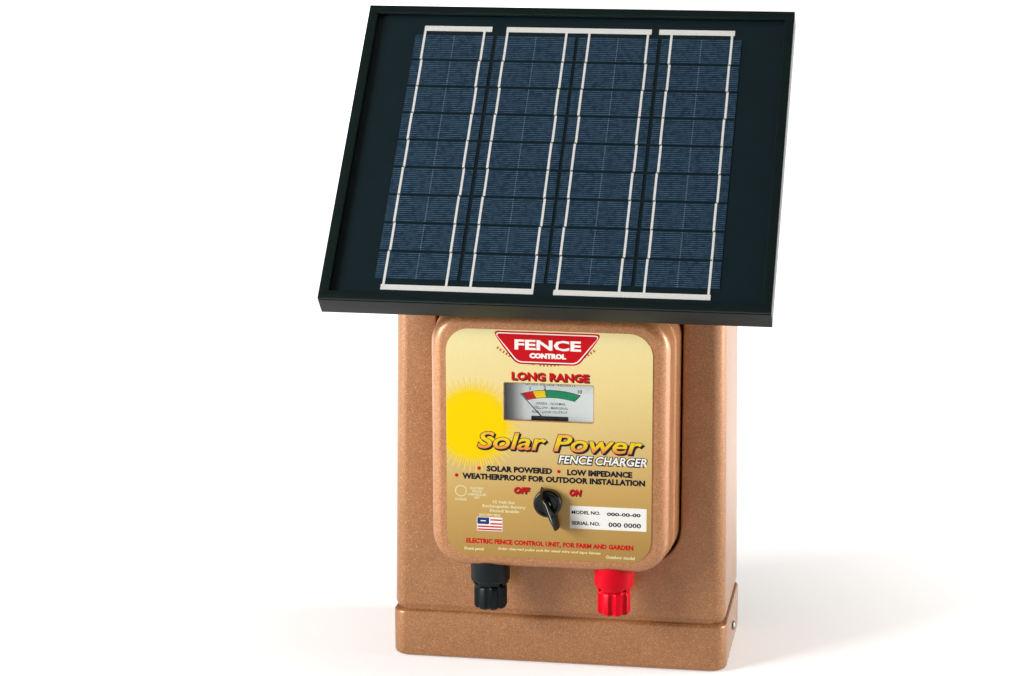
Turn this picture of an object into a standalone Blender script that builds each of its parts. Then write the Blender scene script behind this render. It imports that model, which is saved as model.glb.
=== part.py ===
"""Solar fence energizer: a copper-coloured case with a sloped solar panel and a control module.

Lengths are in millimetres here, and MM turns them into metres where a mesh or a place is made.
The origin is the middle of the case's underside. +Z is up, +X is right and the front faces -Y.
"""
import math

import bmesh
import bpy
from mathutils import Matrix, Vector

MM = 0.001
GAP = 0.3                    # clearance between neighbouring pieces

# Case
SKIRT_HALF_WIDTH = 140.4
SKIRT_HALF_DEPTH = 64.0
SKIRT_HEIGHT = 41.0
NECK_INSET = 3.0             # the groove above the skirt
WALL_FOOT = 47.0             # height where the tapered walls start
WALL_HALF_WIDTH = 139.0
WALL_FRONT = -62.0
WALL_BACK = 62.0
WALL_TAPER = 0.0133          # inward lean of a side wall per unit of height
FRONT_TAPER = 0.0100
CASE_CORNER = 11.0
SHELL = 3.0                  # thickness of the case and module shells
ROOF_RISE = 437.5            # the roof is the plane z = y + ROOF_RISE, at 45 degrees
LEDGE_HEIGHT = 40.0          # inner ledge that the bottom seal presses on

# Pocket in the case's front that holds the module
POCKET_HALF_WIDTH = 101.5
POCKET_LOW = 91.0
POCKET_HIGH = 316.5
POCKET_WALL_FRONT = -58.5    # the pocket's walls start here, inside the case's front wall
POCKET_BACK = -31.0
POCKET_FOOT_RADIUS = 32.0
POCKET_HEAD_RADIUS = 24.0

# Bottom cover
COVER_PLATE = 3.0
COVER_RIM = 2.5
COVER_RIM_TOP = 37.2
COVER_SCREW_HEIGHT = 20.0
GASKET_WIDTH = 2.2

# Hanger on the case's back
HANGER_LOW = 190.0
HANGER_HIGH = 340.0
HANGER_MIDDLE = (HANGER_LOW + HANGER_HIGH) / 2
HANGER_STANDOFF = 8.0
HANGER_SHEET = 2.0
HANGER_SCREW_X = 46.0
HANGER_SCREW_RISE = 55.0
KEYHOLE_RISE = 45.0          # of each keyhole from the hanger's middle

# Module
MODULE_CENTRE = 203.5
MODULE_FACE = -112.9
MODULE_HALF_WIDTH = 96.5
MODULE_HALF_HEIGHT = 106.0
MODULE_CORNER = 27.0
MODULE_EDGE = 9.5            # rounding between the face and the sides
MODULE_FLARE = 2.0           # the sides spread this much on their way back
MODULE_FLARE_END = -61.0
MODULE_RIM = -36.0
MODULE_GASKET = 1.4
BACK_PLATE = 2.4
MODULE_BOLT_X = 80.0
GROMMET_HEIGHT = 150.0
GROMMET_GROOVE = 8.0
GROMMET_FLANGE = 10.5
GROMMET_BORE = 5.0
LABEL_HALF_WIDTH = 83.25
LABEL_LOW = 107.4
LABEL_HIGH = 296.6
LABEL_CORNER = 19.0
LABEL_THICKNESS = 0.6

# Meter
WINDOW_HALF_WIDTH = 35.9
WINDOW_LOW = 222.6
WINDOW_HIGH = 253.1
NEEDLE_PIVOT = (0.0, -103.6, 216.0)
NEEDLE_LENGTH = 36.0
NEEDLE_REST = -43.0          # degrees from upright, left of the middle
DIAL_PLANE = -100.6

# Switch
KNOB_CENTRE = 156.0
KNOB_RADIUS = 11.4
KNOB_BASE = -114.8
KNOB_FACE = -122.0
KNOB_RIDGE = -132.0
KNOB_REST = -22.5            # degrees from upright, at the off position

# Terminals
TERMINAL_X = 51.0
TERMINAL_Y = -94.5
STUD_RADIUS = 3.0
COLLAR_RADIUS = 16.0
COLLAR_LOW = 79.3
CAP_RADIUS = 13.9
CAP_LOW = 58.8
FLUTES = 8
FLUTE_STEPS = 5              # points on the cap's outline for each flute
NOTCHES = 4                  # wire slots in the collar's lower rim

# Battery: the common 12 volt, 7 amp-hour sealed block
BATTERY_WIDTH = 151.0
BATTERY_DEPTH = 65.0
BATTERY_HEIGHT = 94.0
BATTERY_FRONT = -22.0

# Solar panel, in its own frame: X across, Y up the slope from the lower edge, Z out of the glass
PANEL_WIDTH = 357.0
PANEL_LENGTH = 294.3
PANEL_THICKNESS = 21.0
PANEL_EDGE = (0.0, -152.5, 326.0)
PANEL_TILT = 45.0
LIP = 7.5                    # how far the frame laps over the glass
FLANGE = 20.0                # the frame's flange underneath
FRAME_WALL = 1.8
GLASS_FACE = -2.9
GLASS_BACK = -5.1
CELL_FACE = -5.4
CELL_BACK = -5.8
SHEET_FACE = -6.1
SHEET_BACK = -6.7
SHELF_TOP = -7.0             # of the frame's inner ledge, which carries the glass and the sheet
SHELF = 1.4
CELL_WIDTH = 66.0
CELL_HEIGHT = 25.1
CELL_PITCH = 27.35
CELL_ROWS = 9
CELL_FIRST = 23.9            # lower edge of the first row
STRING_CENTRES = (-103.5, -34.4, 34.4, 103.5)
RIBBON_OFFSET = 24.8         # of each ribbon from its string's middle
RIBBON_WIDTH = 2.2
BUS_LOW = (13.3, 18.2)
BUS_HIGH = (272.0, 277.2)
BRACKET_X = 112.0
BRACKET_BASE = -29.0         # the roof's plane, which the brackets stand on
BRACKET_SHEET = 1.8
BRACKET_END = 9.5            # how far each bracket stops short of the panel's edge
BRACKET_BOLT_V = 200.0
PANEL_SCREW_X = BRACKET_X + 10.5
PANEL_SCREW_V = (14.5, PANEL_LENGTH - 14.5)
BOX_LOW = (-30.0, 212.0)     # the junction box's corners, across and up the slope
BOX_HIGH = (30.0, 258.0)
BOX_BASE = -24.0
CABLE_RADIUS = 2.5
CABLE_ENTRY_V = 190.0
CABLE_OUT = -18.5

# Holes for fasteners
SCREW_HOLE = 2.3
BOLT_HOLE = 2.9
SMALL_SCREW_HOLE = 1.9
BUSH_HOLE = 4.8

PALETTE = {                  # colour, roughness and metallic value of each material
    "copper_paint": ((0.42, 0.17, 0.085), 0.38, 0.45),
    "black_plastic": ((0.012, 0.014, 0.016), 0.25, 0.0),
    "terminal_black": ((0.016, 0.025, 0.033), 0.40, 0.0),
    "terminal_red": ((0.80, 0.008, 0.030), 0.35, 0.0),
    "label_print": ((0.72, 0.55, 0.20), 0.35, 0.2),
    "dial_print": ((0.80, 0.82, 0.80), 0.50, 0.0),
    "needle_black": ((0.015, 0.015, 0.02), 0.40, 0.0),
    "clear_plastic": ((0.85, 0.90, 0.90), 0.08, 0.0),
    "plated_steel": ((0.60, 0.60, 0.58), 0.30, 1.0),
    "brass": ((0.70, 0.50, 0.22), 0.28, 1.0),
    "rubber": ((0.020, 0.020, 0.022), 0.75, 0.0),
    "board_green": ((0.02, 0.16, 0.07), 0.45, 0.0),
    "battery_case": ((0.06, 0.065, 0.07), 0.50, 0.0),
    "red_wire": ((0.60, 0.02, 0.02), 0.45, 0.0),
    "black_wire": ((0.02, 0.02, 0.02), 0.45, 0.0),
    "panel_frame": ((0.018, 0.024, 0.026), 0.35, 0.6),
    "panel_glass": ((0.70, 0.80, 0.85), 0.05, 0.0),
    "backsheet": ((0.012, 0.022, 0.026), 0.45, 0.0),
    "solar_cell": ((0.020, 0.055, 0.110), 0.30, 0.2),
}


# ---------------------------------------------------------------- helpers

def clear_scene():
    """Remove everything that the scene starts with."""
    for obj in list(bpy.data.objects):
        bpy.data.objects.remove(obj, do_unlink=True)


def finish(name):
    """Return the named material from the palette, made the first time it is asked for."""
    if name in bpy.data.materials:
        return bpy.data.materials[name]
    colour, roughness, metallic = PALETTE[name]
    material = bpy.data.materials.new(name)
    material.use_nodes = True
    shader = material.node_tree.nodes["Principled BSDF"]
    shader.inputs["Base Color"].default_value = (*colour, 1.0)
    shader.inputs["Roughness"].default_value = roughness
    shader.inputs["Metallic"].default_value = metallic
    return material


def add_object(name, shape, material_name=None, at=(0, 0, 0), parent=None):
    """Turn a bmesh in millimetres into an object whose origin is at the given point."""
    bmesh.ops.recalc_face_normals(shape, faces=shape.faces)
    bmesh.ops.scale(shape, vec=(MM, MM, MM), verts=shape.verts)
    mesh = bpy.data.meshes.new(name)
    shape.to_mesh(mesh)
    shape.free()
    if material_name:
        mesh.materials.append(finish(material_name))
    obj = bpy.data.objects.new(name, mesh)
    obj.location = Vector(at) * MM
    obj.parent = parent
    bpy.context.scene.collection.objects.link(obj)
    return obj


def combine(body, shape, operation="DIFFERENCE"):
    """Cut the shape out of the body, or join it on, in the body's own frame."""
    tool = add_object("tool", shape)
    tool.parent = body
    boolean = body.modifiers.new("boolean", "BOOLEAN")
    boolean.operation = operation
    boolean.solver = "EXACT"
    boolean.object = tool
    bpy.context.view_layer.update()
    graph = bpy.context.evaluated_depsgraph_get()
    result = bpy.data.meshes.new_from_object(body.evaluated_get(graph))
    body.modifiers.clear()
    body.data = result
    bpy.data.objects.remove(tool, do_unlink=True)


def smooth(obj, degrees=35):
    """Shade curved faces smooth and keep the sharp edges."""
    obj.data.shade_smooth()
    obj.data.set_sharp_from_angle(angle=math.radians(degrees))
    return obj


def loft(rings):
    """Skin a stack of rings that have equal numbers of points, and cap both ends."""
    shape = bmesh.new()
    loops = [[shape.verts.new(point) for point in ring] for ring in rings]
    for lower, upper in zip(loops, loops[1:]):
        for here in range(len(lower)):
            there = (here + 1) % len(lower)
            shape.faces.new((lower[here], lower[there], upper[there], upper[here]))
    shape.faces.new(loops[0])
    shape.faces.new(loops[-1])
    return shape


def prism(outline, start, end, axis="Z"):
    """Extrude a flat outline from start to end along an axis.

    The outline's pairs are (X, Y) along Z, (X, Z) along Y and (Y, Z) along X.
    """
    return loft([[spread(pair, level, axis) for pair in outline] for level in (start, end)])


def spread(pair, level, axis):
    """Place a flat outline's point at a level along the axis."""
    first, second = pair
    if axis == "Z":
        return (first, second, level)
    if axis == "Y":
        return (first, level, second)
    return (level, first, second)


def rounded(low, high, radii, steps=5):
    """Outline a rectangle with round corners: upper right, upper left, lower left, lower right."""
    if isinstance(radii, (int, float)):
        radii = (radii,) * 4
    corners = ((high[0], high[1]), (low[0], high[1]), (low[0], low[1]), (high[0], low[1]))
    signs = ((1, 1), (-1, 1), (-1, -1), (1, -1))
    points = []
    for quarter, ((x, y), (side, rise), radius) in enumerate(zip(corners, signs, radii)):
        for step in range(steps + 1):
            angle = math.pi / 2 * (quarter + step / steps)
            points.append((x - side * radius + radius * math.cos(angle),
                           y - rise * radius + radius * math.sin(angle)))
    return points


def circle(radius, sides=24, centre=(0, 0)):
    """Outline a circle."""
    angles = [2 * math.pi * step / sides for step in range(sides)]
    return [(centre[0] + radius * math.cos(a), centre[1] + radius * math.sin(a)) for a in angles]


def leaned(outline, degrees):
    """Turn an outline clockwise, as it is seen from the front."""
    angle = math.radians(degrees)
    return [(x * math.cos(angle) + z * math.sin(angle), z * math.cos(angle) - x * math.sin(angle))
            for x, z in outline]


def box(low, high):
    """A plain block between two corners."""
    outline = [(low[0], low[1]), (high[0], low[1]), (high[0], high[1]), (low[0], high[1])]
    return prism(outline, low[2], high[2])


def turned(profile, sides=24, ring=False):
    """Revolve a profile of (radius, height) pairs about Z.

    A profile that starts and ends at radius 0 gives a solid. A ring profile joins its last
    pair to its first.
    """
    shape = bmesh.new()
    rings = []
    for radius, height in profile:
        points = [(radius * c, radius * s, height) for c, s in circle(1, sides)]
        if radius == 0:
            points = points[:1]
        rings.append([shape.verts.new(point) for point in points])
    pairs = list(zip(rings, rings[1:]))
    if ring:
        pairs.append((rings[-1], rings[0]))
    for lower, upper in pairs:
        for here in range(sides):
            there = (here + 1) % sides
            corners = [lower[here % len(lower)], lower[there % len(lower)],
                       upper[there % len(upper)], upper[here % len(upper)]]
            shape.faces.new(list(dict.fromkeys(corners)))
    return shape


def turned_about_y(profile, sides=24, ring=False):
    """Revolve a profile whose heights run towards the front, along -Y."""
    shape = turned(profile, sides, ring)
    for vert in shape.verts:
        x, y, z = vert.co
        vert.co = (x, -z, y)
    return shape


def moved(shape, offset):
    """Shift a shape and return it."""
    bmesh.ops.translate(shape, vec=offset, verts=shape.verts)
    return shape


def trim(shape, point, normal):
    """Cut a shape at a plane, drop what is on the normal's side and close the cut."""
    geometry = list(shape.verts) + list(shape.edges) + list(shape.faces)
    cut = bmesh.ops.bisect_plane(shape, geom=geometry, plane_co=point, plane_no=normal,
                                 clear_outer=True)
    edges = [item for item in cut["geom_cut"] if isinstance(item, bmesh.types.BMEdge)]
    bmesh.ops.contextual_create(shape, geom=edges)
    return shape


def smooth_path(knots, steps=3):
    """Run a Catmull-Rom curve through the knots."""
    points = [Vector(knot) for knot in knots]
    padded = [points[0], *points, points[-1]]
    path = []
    for a, b, c, d in zip(padded, padded[1:], padded[2:], padded[3:]):
        for step in range(steps):
            t = step / steps
            path.append(0.5 * (2 * b + (c - a) * t + (2 * a - 5 * b + 4 * c - d) * t ** 2
                               + (3 * b - a - 3 * c + d) * t ** 3))
    path.append(points[-1])
    return path


def cable(knots, radius, sides=6):
    """A round cable along a smooth path."""
    path = smooth_path(knots)
    side = Vector((1, 0.2, 0.1))
    rings = []
    for index, point in enumerate(path):
        heading = path[min(index + 1, len(path) - 1)] - path[max(index - 1, 0)]
        heading.normalize()
        side = (side - heading * side.dot(heading)).normalized()
        up = heading.cross(side)
        rings.append([point + (side * c + up * s) * radius for c, s in circle(1, sides)])
    return loft(rings)


def pan_screw(name, at, direction, length, radius=1.9, head=3.9, parent=None):
    """A pan-head screw whose head sits on the given point and whose shank runs along a direction."""
    profile = [(0, -2.2), (head * 0.7, -2.0), (head, -0.8), (head, 0), (radius, 0), (radius, length),
               (0, length)]
    shape = turned(profile, 12)
    turn = Vector((0, 0, 1)).rotation_difference(Vector(direction))
    bmesh.ops.rotate(shape, cent=(0, 0, 0), matrix=turn.to_matrix(), verts=shape.verts)
    return smooth(add_object(name, shape, "plated_steel", at, parent))


def drill(body, at, direction, radius, low=-10, high=10, sides=16):
    """Drill a round hole through a body, from low to high along a direction."""
    shape = turned([(0, low), (radius, low), (radius, high), (0, high)], sides)
    turn = Vector((0, 0, 1)).rotation_difference(Vector(direction))
    bmesh.ops.rotate(shape, cent=(0, 0, 0), matrix=turn.to_matrix(), verts=shape.verts)
    combine(body, moved(shape, at))


# ---------------------------------------------------------------- case

def case_ring(height, half_width, front, back, radius):
    """One level of the case's outline."""
    outline = rounded((-half_width, front), (half_width, back), radius)
    return [(x, y, height) for x, y in outline]


def skirt_ring(height, inset):
    """One level of the skirt, drawn in by an inset."""
    depth = SKIRT_HALF_DEPTH - inset
    return case_ring(height, SKIRT_HALF_WIDTH - inset, -depth, depth, CASE_CORNER + 1)


def wall_ring(height, inset=0.0):
    """One level of the tapered walls, drawn in by an inset."""
    rise = height - WALL_FOOT
    half_width = WALL_HALF_WIDTH - rise * WALL_TAPER - inset
    front = WALL_FRONT + rise * FRONT_TAPER + inset
    return case_ring(height, half_width, front, WALL_BACK - inset, CASE_CORNER - inset * 0.9)


def roof_trim(shape, drop=0.0):
    """Cut a shape along the roof plane, lowered by a drop."""
    return trim(shape, (0, 0, ROOF_RISE - drop), (0, -1, 1))


def case_outside():
    """The case as a solid block: rolled skirt, groove, tapered walls and sloped roof."""
    edge = 4.0
    rings = []
    for step in range(4):
        angle = math.pi / 2 * step / 3
        rings.append(skirt_ring(edge * (1 - math.cos(angle)), edge * (1 - math.sin(angle))))
    for step in range(4):
        angle = math.pi / 2 * step / 3
        height = SKIRT_HEIGHT - NECK_INSET * (1 - math.sin(angle))
        rings.append(skirt_ring(height, NECK_INSET * (1 - math.cos(angle))))
    rings.append(skirt_ring(SKIRT_HEIGHT + 1.5, NECK_INSET))
    rings.append(wall_ring(WALL_FOOT))
    rings.append(wall_ring(WALL_FOOT + 480))
    return roof_trim(loft(rings))


def case_inside():
    """The hollow of the case, open at the bottom."""
    skirt = SHELL + 0.2
    rings = [skirt_ring(-5, skirt), skirt_ring(LEDGE_HEIGHT, skirt),
             wall_ring(LEDGE_HEIGHT + 0.01, SHELL + 0.4), wall_ring(WALL_FOOT + 480, SHELL)]
    return roof_trim(loft(rings), SHELL * math.sqrt(2))


def pocket(grow, front, back):
    """The pocket that holds the module, grown by a wall thickness."""
    radii = (POCKET_HEAD_RADIUS + grow,) * 2 + (POCKET_FOOT_RADIUS + grow,) * 2
    outline = rounded((-POCKET_HALF_WIDTH - grow, POCKET_LOW - grow),
                      (POCKET_HALF_WIDTH + grow, POCKET_HIGH + grow), radii)
    return prism(outline, front, back, "Y")


def build_case():
    """The case shell with its pocket and its holes."""
    shell = add_object("case_shell", case_outside(), "copper_paint")
    combine(shell, case_inside())
    combine(shell, pocket(SHELL, POCKET_WALL_FRONT, POCKET_BACK + SHELL), "UNION")
    combine(shell, pocket(0, WALL_FRONT - 10, POCKET_BACK))
    for side in (-1, 1):
        drill(shell, (side * SKIRT_HALF_WIDTH, 0, COVER_SCREW_HEIGHT), (1, 0, 0), SCREW_HOLE)
        drill(shell, (side * MODULE_BOLT_X, POCKET_BACK, MODULE_CENTRE), (0, 1, 0), BOLT_HOLE)
        drill(shell, (side * HANGER_SCREW_X, WALL_BACK, HANGER_MIDDLE + side * HANGER_SCREW_RISE),
              (0, 1, 0), SCREW_HOLE)
        drill(shell, on_panel(side * BRACKET_X, BRACKET_BOLT_V, BRACKET_BASE), (0, -1, 1), BOLT_HOLE)
    drill(shell, (0, POCKET_BACK, GROMMET_HEIGHT), (0, 1, 0), GROMMET_GROOVE + GAP, sides=24)
    drill(shell, on_panel(0, CABLE_ENTRY_V, BRACKET_BASE), (0, -1, 1), CABLE_RADIUS + 0.5)
    smooth(shell)


def build_bottom_cover():
    """A tray that closes the underside, with its seal and its two side screws."""
    fit = SHELL + 0.6
    cover = add_object("bottom_cover", loft([skirt_ring(0, fit), skirt_ring(COVER_RIM_TOP, fit)]),
                       "copper_paint")
    inner = fit + COVER_RIM
    combine(cover, loft([skirt_ring(COVER_PLATE, inner), skirt_ring(60, inner)]))
    for side in (-1, 1):
        drill(cover, (side * SKIRT_HALF_WIDTH, 0, COVER_SCREW_HEIGHT), (1, 0, 0), SCREW_HOLE)
    smooth(cover)

    low, high = COVER_RIM_TOP + GAP, LEDGE_HEIGHT - GAP
    gasket = add_object("bottom_gasket", loft([skirt_ring(low, fit), skirt_ring(high, fit)]), "rubber")
    inner = fit + GASKET_WIDTH
    combine(gasket, loft([skirt_ring(low - 5, inner), skirt_ring(high + 5, inner)]))
    smooth(gasket)

    for name, side in (("cover_screw_left", -1), ("cover_screw_right", 1)):
        at = (side * (SKIRT_HALF_WIDTH + GAP), 0, COVER_SCREW_HEIGHT)
        pan_screw(name, at, (-side, 0, 0), 10)


# ---------------------------------------------------------------- hanger on the back

def build_hanger():
    """A hat-section plate with two keyholes, which hangs the case on a post."""
    near = WALL_BACK + GAP
    far = near + HANGER_STANDOFF
    half = [(30, far), (38, near), (56, near), (56, near + HANGER_SHEET),
            (38.9, near + HANGER_SHEET), (30.9, far + HANGER_SHEET)]
    outline = [*half, *[(-x, y) for x, y in reversed(half)]]
    plate = add_object("hanger_plate", prism(outline, HANGER_LOW, HANGER_HIGH), "plated_steel")
    for height in (HANGER_MIDDLE - KEYHOLE_RISE, HANGER_MIDDLE + KEYHOLE_RISE):
        drill(plate, (0, far, height - 8), (0, 1, 0), 6)
        drill(plate, (0, far, height + 3), (0, 1, 0), 3, sides=12)
        slot = [(-2.9, height - 6), (2.9, height - 6), (2.9, height + 3), (-2.9, height + 3)]
        combine(plate, prism(slot, far - 3, far + 5, "Y"))
    for side in (-1, 1):
        height = HANGER_MIDDLE + side * HANGER_SCREW_RISE
        drill(plate, (side * HANGER_SCREW_X, near, height), (0, 1, 0), SCREW_HOLE)
    smooth(plate)
    for name, side in (("hanger_screw_lower", -1), ("hanger_screw_upper", 1)):
        height = HANGER_MIDDLE + side * HANGER_SCREW_RISE
        pan_screw(name, (side * HANGER_SCREW_X, near + HANGER_SHEET + GAP, height), (0, -1, 0), 9)


# ---------------------------------------------------------------- module

def module_ring(level, grow, radius):
    """One level of the module's outline, grown from its size just behind the rounded edge."""
    outline = rounded((-MODULE_HALF_WIDTH - grow, MODULE_CENTRE - MODULE_HALF_HEIGHT - grow),
                      (MODULE_HALF_WIDTH + grow, MODULE_CENTRE + MODULE_HALF_HEIGHT + grow), radius)
    return [(x, level, z) for x, z in outline]


def module_body(inset, front, back):
    """The module's rounded block, drawn in by an inset on its sides."""
    rings = []
    edge = MODULE_EDGE - inset
    for step in range(6):
        angle = math.pi / 2 * step / 5
        shrink = inset + edge * (1 - math.sin(angle))
        level = front + edge * (1 - math.cos(angle))
        rings.append(module_ring(level, -shrink, MODULE_CORNER - shrink))
    rings.append(module_ring(MODULE_FLARE_END, MODULE_FLARE - inset, MODULE_CORNER + 3 - inset))
    rings.append(module_ring(back, MODULE_FLARE + 0.5 - inset, MODULE_CORNER + 3 - inset))
    return loft(rings)


def window_outline(grow):
    """The meter window's opening, grown all round."""
    return rounded((-WINDOW_HALF_WIDTH - grow, WINDOW_LOW - grow),
                   (WINDOW_HALF_WIDTH + grow, WINDOW_HIGH + grow), 1.5, 2)


def build_module_shell():
    """The can that holds the electronics, open at the back."""
    can = add_object("module_can", module_body(0, MODULE_FACE, MODULE_RIM), "copper_paint")
    combine(can, module_body(SHELL, MODULE_FACE + SHELL, MODULE_RIM + 5))
    combine(can, prism(window_outline(0), MODULE_FACE - 5, MODULE_FACE + 8, "Y"))
    drill(can, (0, MODULE_FACE, KNOB_CENTRE), (0, 1, 0), BUSH_HOLE, sides=20)
    for side in (-1, 1):
        at = (side * TERMINAL_X, TERMINAL_Y, MODULE_CENTRE - MODULE_HALF_HEIGHT)
        drill(can, at, (0, 0, 1), STUD_RADIUS + 0.4)
    smooth(can)


def build_module_back():
    """The module's seal and back plate."""
    seal_front = MODULE_RIM + GAP
    seal_back = seal_front + MODULE_GASKET
    grow = MODULE_FLARE + 0.5
    corner = MODULE_CORNER + 3
    seal = add_object("module_gasket", loft([module_ring(seal_front, grow, corner),
                                             module_ring(seal_back, grow, corner)]), "rubber")
    combine(seal, loft([module_ring(seal_front - 5, grow - SHELL, corner - SHELL),
                        module_ring(seal_back + 5, grow - SHELL, corner - SHELL)]))
    smooth(seal)

    plate_front = seal_back + GAP
    plate = add_object("module_back_plate", loft([module_ring(plate_front, grow, corner),
                                                  module_ring(plate_front + BACK_PLATE, grow, corner)]),
                       "plated_steel")
    for side in (-1, 1):
        drill(plate, (side * MODULE_BOLT_X, plate_front, MODULE_CENTRE), (0, 1, 0), BOLT_HOLE)
    drill(plate, (0, plate_front, GROMMET_HEIGHT), (0, 1, 0), GROMMET_FLANGE + 0.5, sides=24)
    smooth(plate)


def build_module_fasteners():
    """Two bolts and a cable grommet between the case and the module."""
    profile = [(0, 0), (5.5, 0), (5.5, 3.5), (2.6, 3.5), (2.6, 18), (0, 18)]
    head = POCKET_BACK + SHELL + GAP + 3.5
    for name, side in (("module_bolt_left", -1), ("module_bolt_right", 1)):
        at = (side * MODULE_BOLT_X, head, MODULE_CENTRE)
        smooth(add_object(name, turned_about_y(profile, 12), "plated_steel", at))

    half_groove = SHELL / 2 + GAP
    flange = half_groove + 1.8
    profile = [(GROMMET_BORE, -flange), (GROMMET_FLANGE - 1, -flange), (GROMMET_FLANGE, -flange + 0.6),
               (GROMMET_FLANGE, -half_groove), (GROMMET_GROOVE, -half_groove),
               (GROMMET_GROOVE, half_groove), (GROMMET_FLANGE, half_groove),
               (GROMMET_FLANGE, flange - 0.6), (GROMMET_FLANGE - 1, flange), (GROMMET_BORE, flange)]
    at = (0, POCKET_BACK + SHELL / 2, GROMMET_HEIGHT)
    smooth(add_object("cable_grommet", turned_about_y(profile, 16, ring=True), "rubber", at))


def build_label():
    """The printed face plate."""
    back = MODULE_FACE - GAP
    outline = rounded((-LABEL_HALF_WIDTH, LABEL_LOW), (LABEL_HALF_WIDTH, LABEL_HIGH), LABEL_CORNER)
    label = add_object("face_label", prism(outline, back, back - LABEL_THICKNESS, "Y"), "label_print")
    combine(label, prism(window_outline(0), back - 5, back + 5, "Y"))
    drill(label, (0, back, KNOB_CENTRE), (0, 1, 0), BUSH_HOLE, sides=20)


def build_electronics():
    """The board with its pulse transformer and its storage capacitor."""
    add_object("circuit_board", box((-75, -52, 112), (75, -50.4, 204)), "board_green")

    core = add_object("pulse_transformer", box((-62, -88, 122), (-14, -52 - GAP, 150)), "plated_steel")
    winding = rounded((-56, -84), (-20, -56), 8, 3)
    combine(core, prism(winding, 114, 158), "UNION")
    smooth(core)

    can = [(0, 0), (13.5, 0), (15, 1), (15, 3), (14.2, 4), (15, 5), (15, 55), (14, 56), (0, 56)]
    smooth(add_object("storage_capacitor", turned(can, 24), "black_plastic", (40, -70, 118)))


# ---------------------------------------------------------------- meter

def build_meter():
    """The meter: an open housing behind a clear window, with a dial and a needle."""
    front = MODULE_FACE + SHELL + GAP
    housing = add_object("meter_housing", prism(rounded((-39.5, 206.5), (39.5, 258), 3, 3),
                                                front, front + 17, "Y"), "black_plastic")
    combine(housing, prism(rounded((-37.5, 208.5), (37.5, 256), 2, 3), front - 5, front + 15, "Y"))
    smooth(housing)

    window = prism(window_outline(-GAP), MODULE_FACE + GAP, MODULE_FACE + SHELL - GAP, "Y")
    smooth(add_object("meter_window", window, "clear_plastic"))

    plate = prism(rounded((-37.2, 208.8), (37.2, 255.7), 1.8, 3), DIAL_PLANE, DIAL_PLANE + 1.2, "Y")
    dial = add_object("meter_dial", plate, "dial_print")
    drill(dial, (0, DIAL_PLANE, NEEDLE_PIVOT[2]), (0, 1, 0), 1.9)
    smooth(dial)

    blade = [(-0.7, -7), (0.7, -7), (0.55, 10), (0.25, NEEDLE_LENGTH), (-0.25, NEEDLE_LENGTH),
             (-0.55, 10)]
    pointer = add_object("meter_needle", prism(leaned(blade, NEEDLE_REST), -0.3, 0.3, "Y"),
                         "needle_black", NEEDLE_PIVOT)
    hub = [(0, -8), (1.2, -8), (1.2, -1.5), (3, -1.5), (3, 1.5), (2.4, 2), (0, 2)]
    combine(pointer, turned_about_y(hub, 16), "UNION")
    smooth(pointer)


# ---------------------------------------------------------------- switch

def knob_outline(tip, tail, half_width):
    """The pointer's outline, short and pointed above and long and tapered below."""
    right = [(half_width * 0.62, tip - (tip - 3) * 0.5), (half_width, 2), (half_width, -6),
             (half_width * 0.75, 0.8 * tail), (half_width * 0.4, 0.95 * tail)]
    return [(0, tip), *right, (0, tail), *[(-x, z) for x, z in reversed(right)]]


def build_switch():
    """The rotary switch: body, shaft, nut and pointer knob, which all lie along Y."""
    inner_face = MODULE_FACE + SHELL + GAP
    centre = (0, inner_face, KNOB_CENTRE)
    body = add_object("switch_body", prism(rounded((-13, -13), (13, 13), 3, 3), 0, 15, "Y"),
                      "black_plastic", centre)
    bush = [(0, -1), (4.4, -1), (4.4, 7.5), (0, 7.5)]
    combine(body, turned_about_y(bush, 20), "UNION")
    drill(body, (0, 0, 0), (0, 1, 0), 3.3, -12, 12)
    smooth(body)

    reach = KNOB_BASE - inner_face
    nut = prism(circle(7.2, 6), -0.2, 1.9, "Y")
    nut_at = (0, MODULE_FACE - 2 * GAP - LABEL_THICKNESS - 2.0, KNOB_CENTRE)
    nut_object = add_object("switch_nut", nut, "plated_steel", nut_at)
    drill(nut_object, (0, 0, 0), (0, 1, 0), 4.7, sides=20)
    smooth(nut_object)

    pivot = (0, KNOB_BASE, KNOB_CENTRE)
    shaft_back = -reach + 11
    shaft = [(0, -shaft_back), (2.9, -shaft_back), (2.9, 9.2), (2.4, 9.7), (0, 9.7)]
    smooth(add_object("switch_shaft", turned_about_y(shaft, 20), "plated_steel", pivot))
    build_knob(pivot)


def build_knob(pivot):
    """The pointer knob: a round skirt with a tapered pointer across it."""
    face = KNOB_BASE - KNOB_FACE
    ridge = KNOB_BASE - KNOB_RIDGE
    skirt = [(0, 0), (KNOB_RADIUS, 0), (KNOB_RADIUS, face - 1.6), (KNOB_RADIUS - 0.5, face - 0.5),
             (KNOB_RADIUS - 1.6, face), (0, face)]
    knob = add_object("switch_knob", turned_about_y(skirt, 32), "black_plastic", pivot)
    levels = ((0.8, 14.0, -23.0, 5.0), (face - 1, 14.0, -23.0, 5.0), (face + 2, 13.2, -22.4, 3.6),
              (ridge - 0.8, 11.0, -20.6, 1.7), (ridge, 10.2, -19.8, 1.1))
    rings = []
    for height, tip, tail, half_width in levels:
        outline = leaned(knob_outline(tip, tail, half_width), KNOB_REST)
        rings.append([(x, -height, z) for x, z in outline])
    combine(knob, loft(rings), "UNION")
    combine(knob, turned_about_y([(0, -5), (8.8, -5), (8.8, 3.2), (0, 3.2)], 24))
    combine(knob, turned_about_y([(0, -5), (3.2, -5), (3.2, 10.2), (0, 10.2)], 20))
    smooth(knob, 30)


# ---------------------------------------------------------------- terminals

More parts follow.
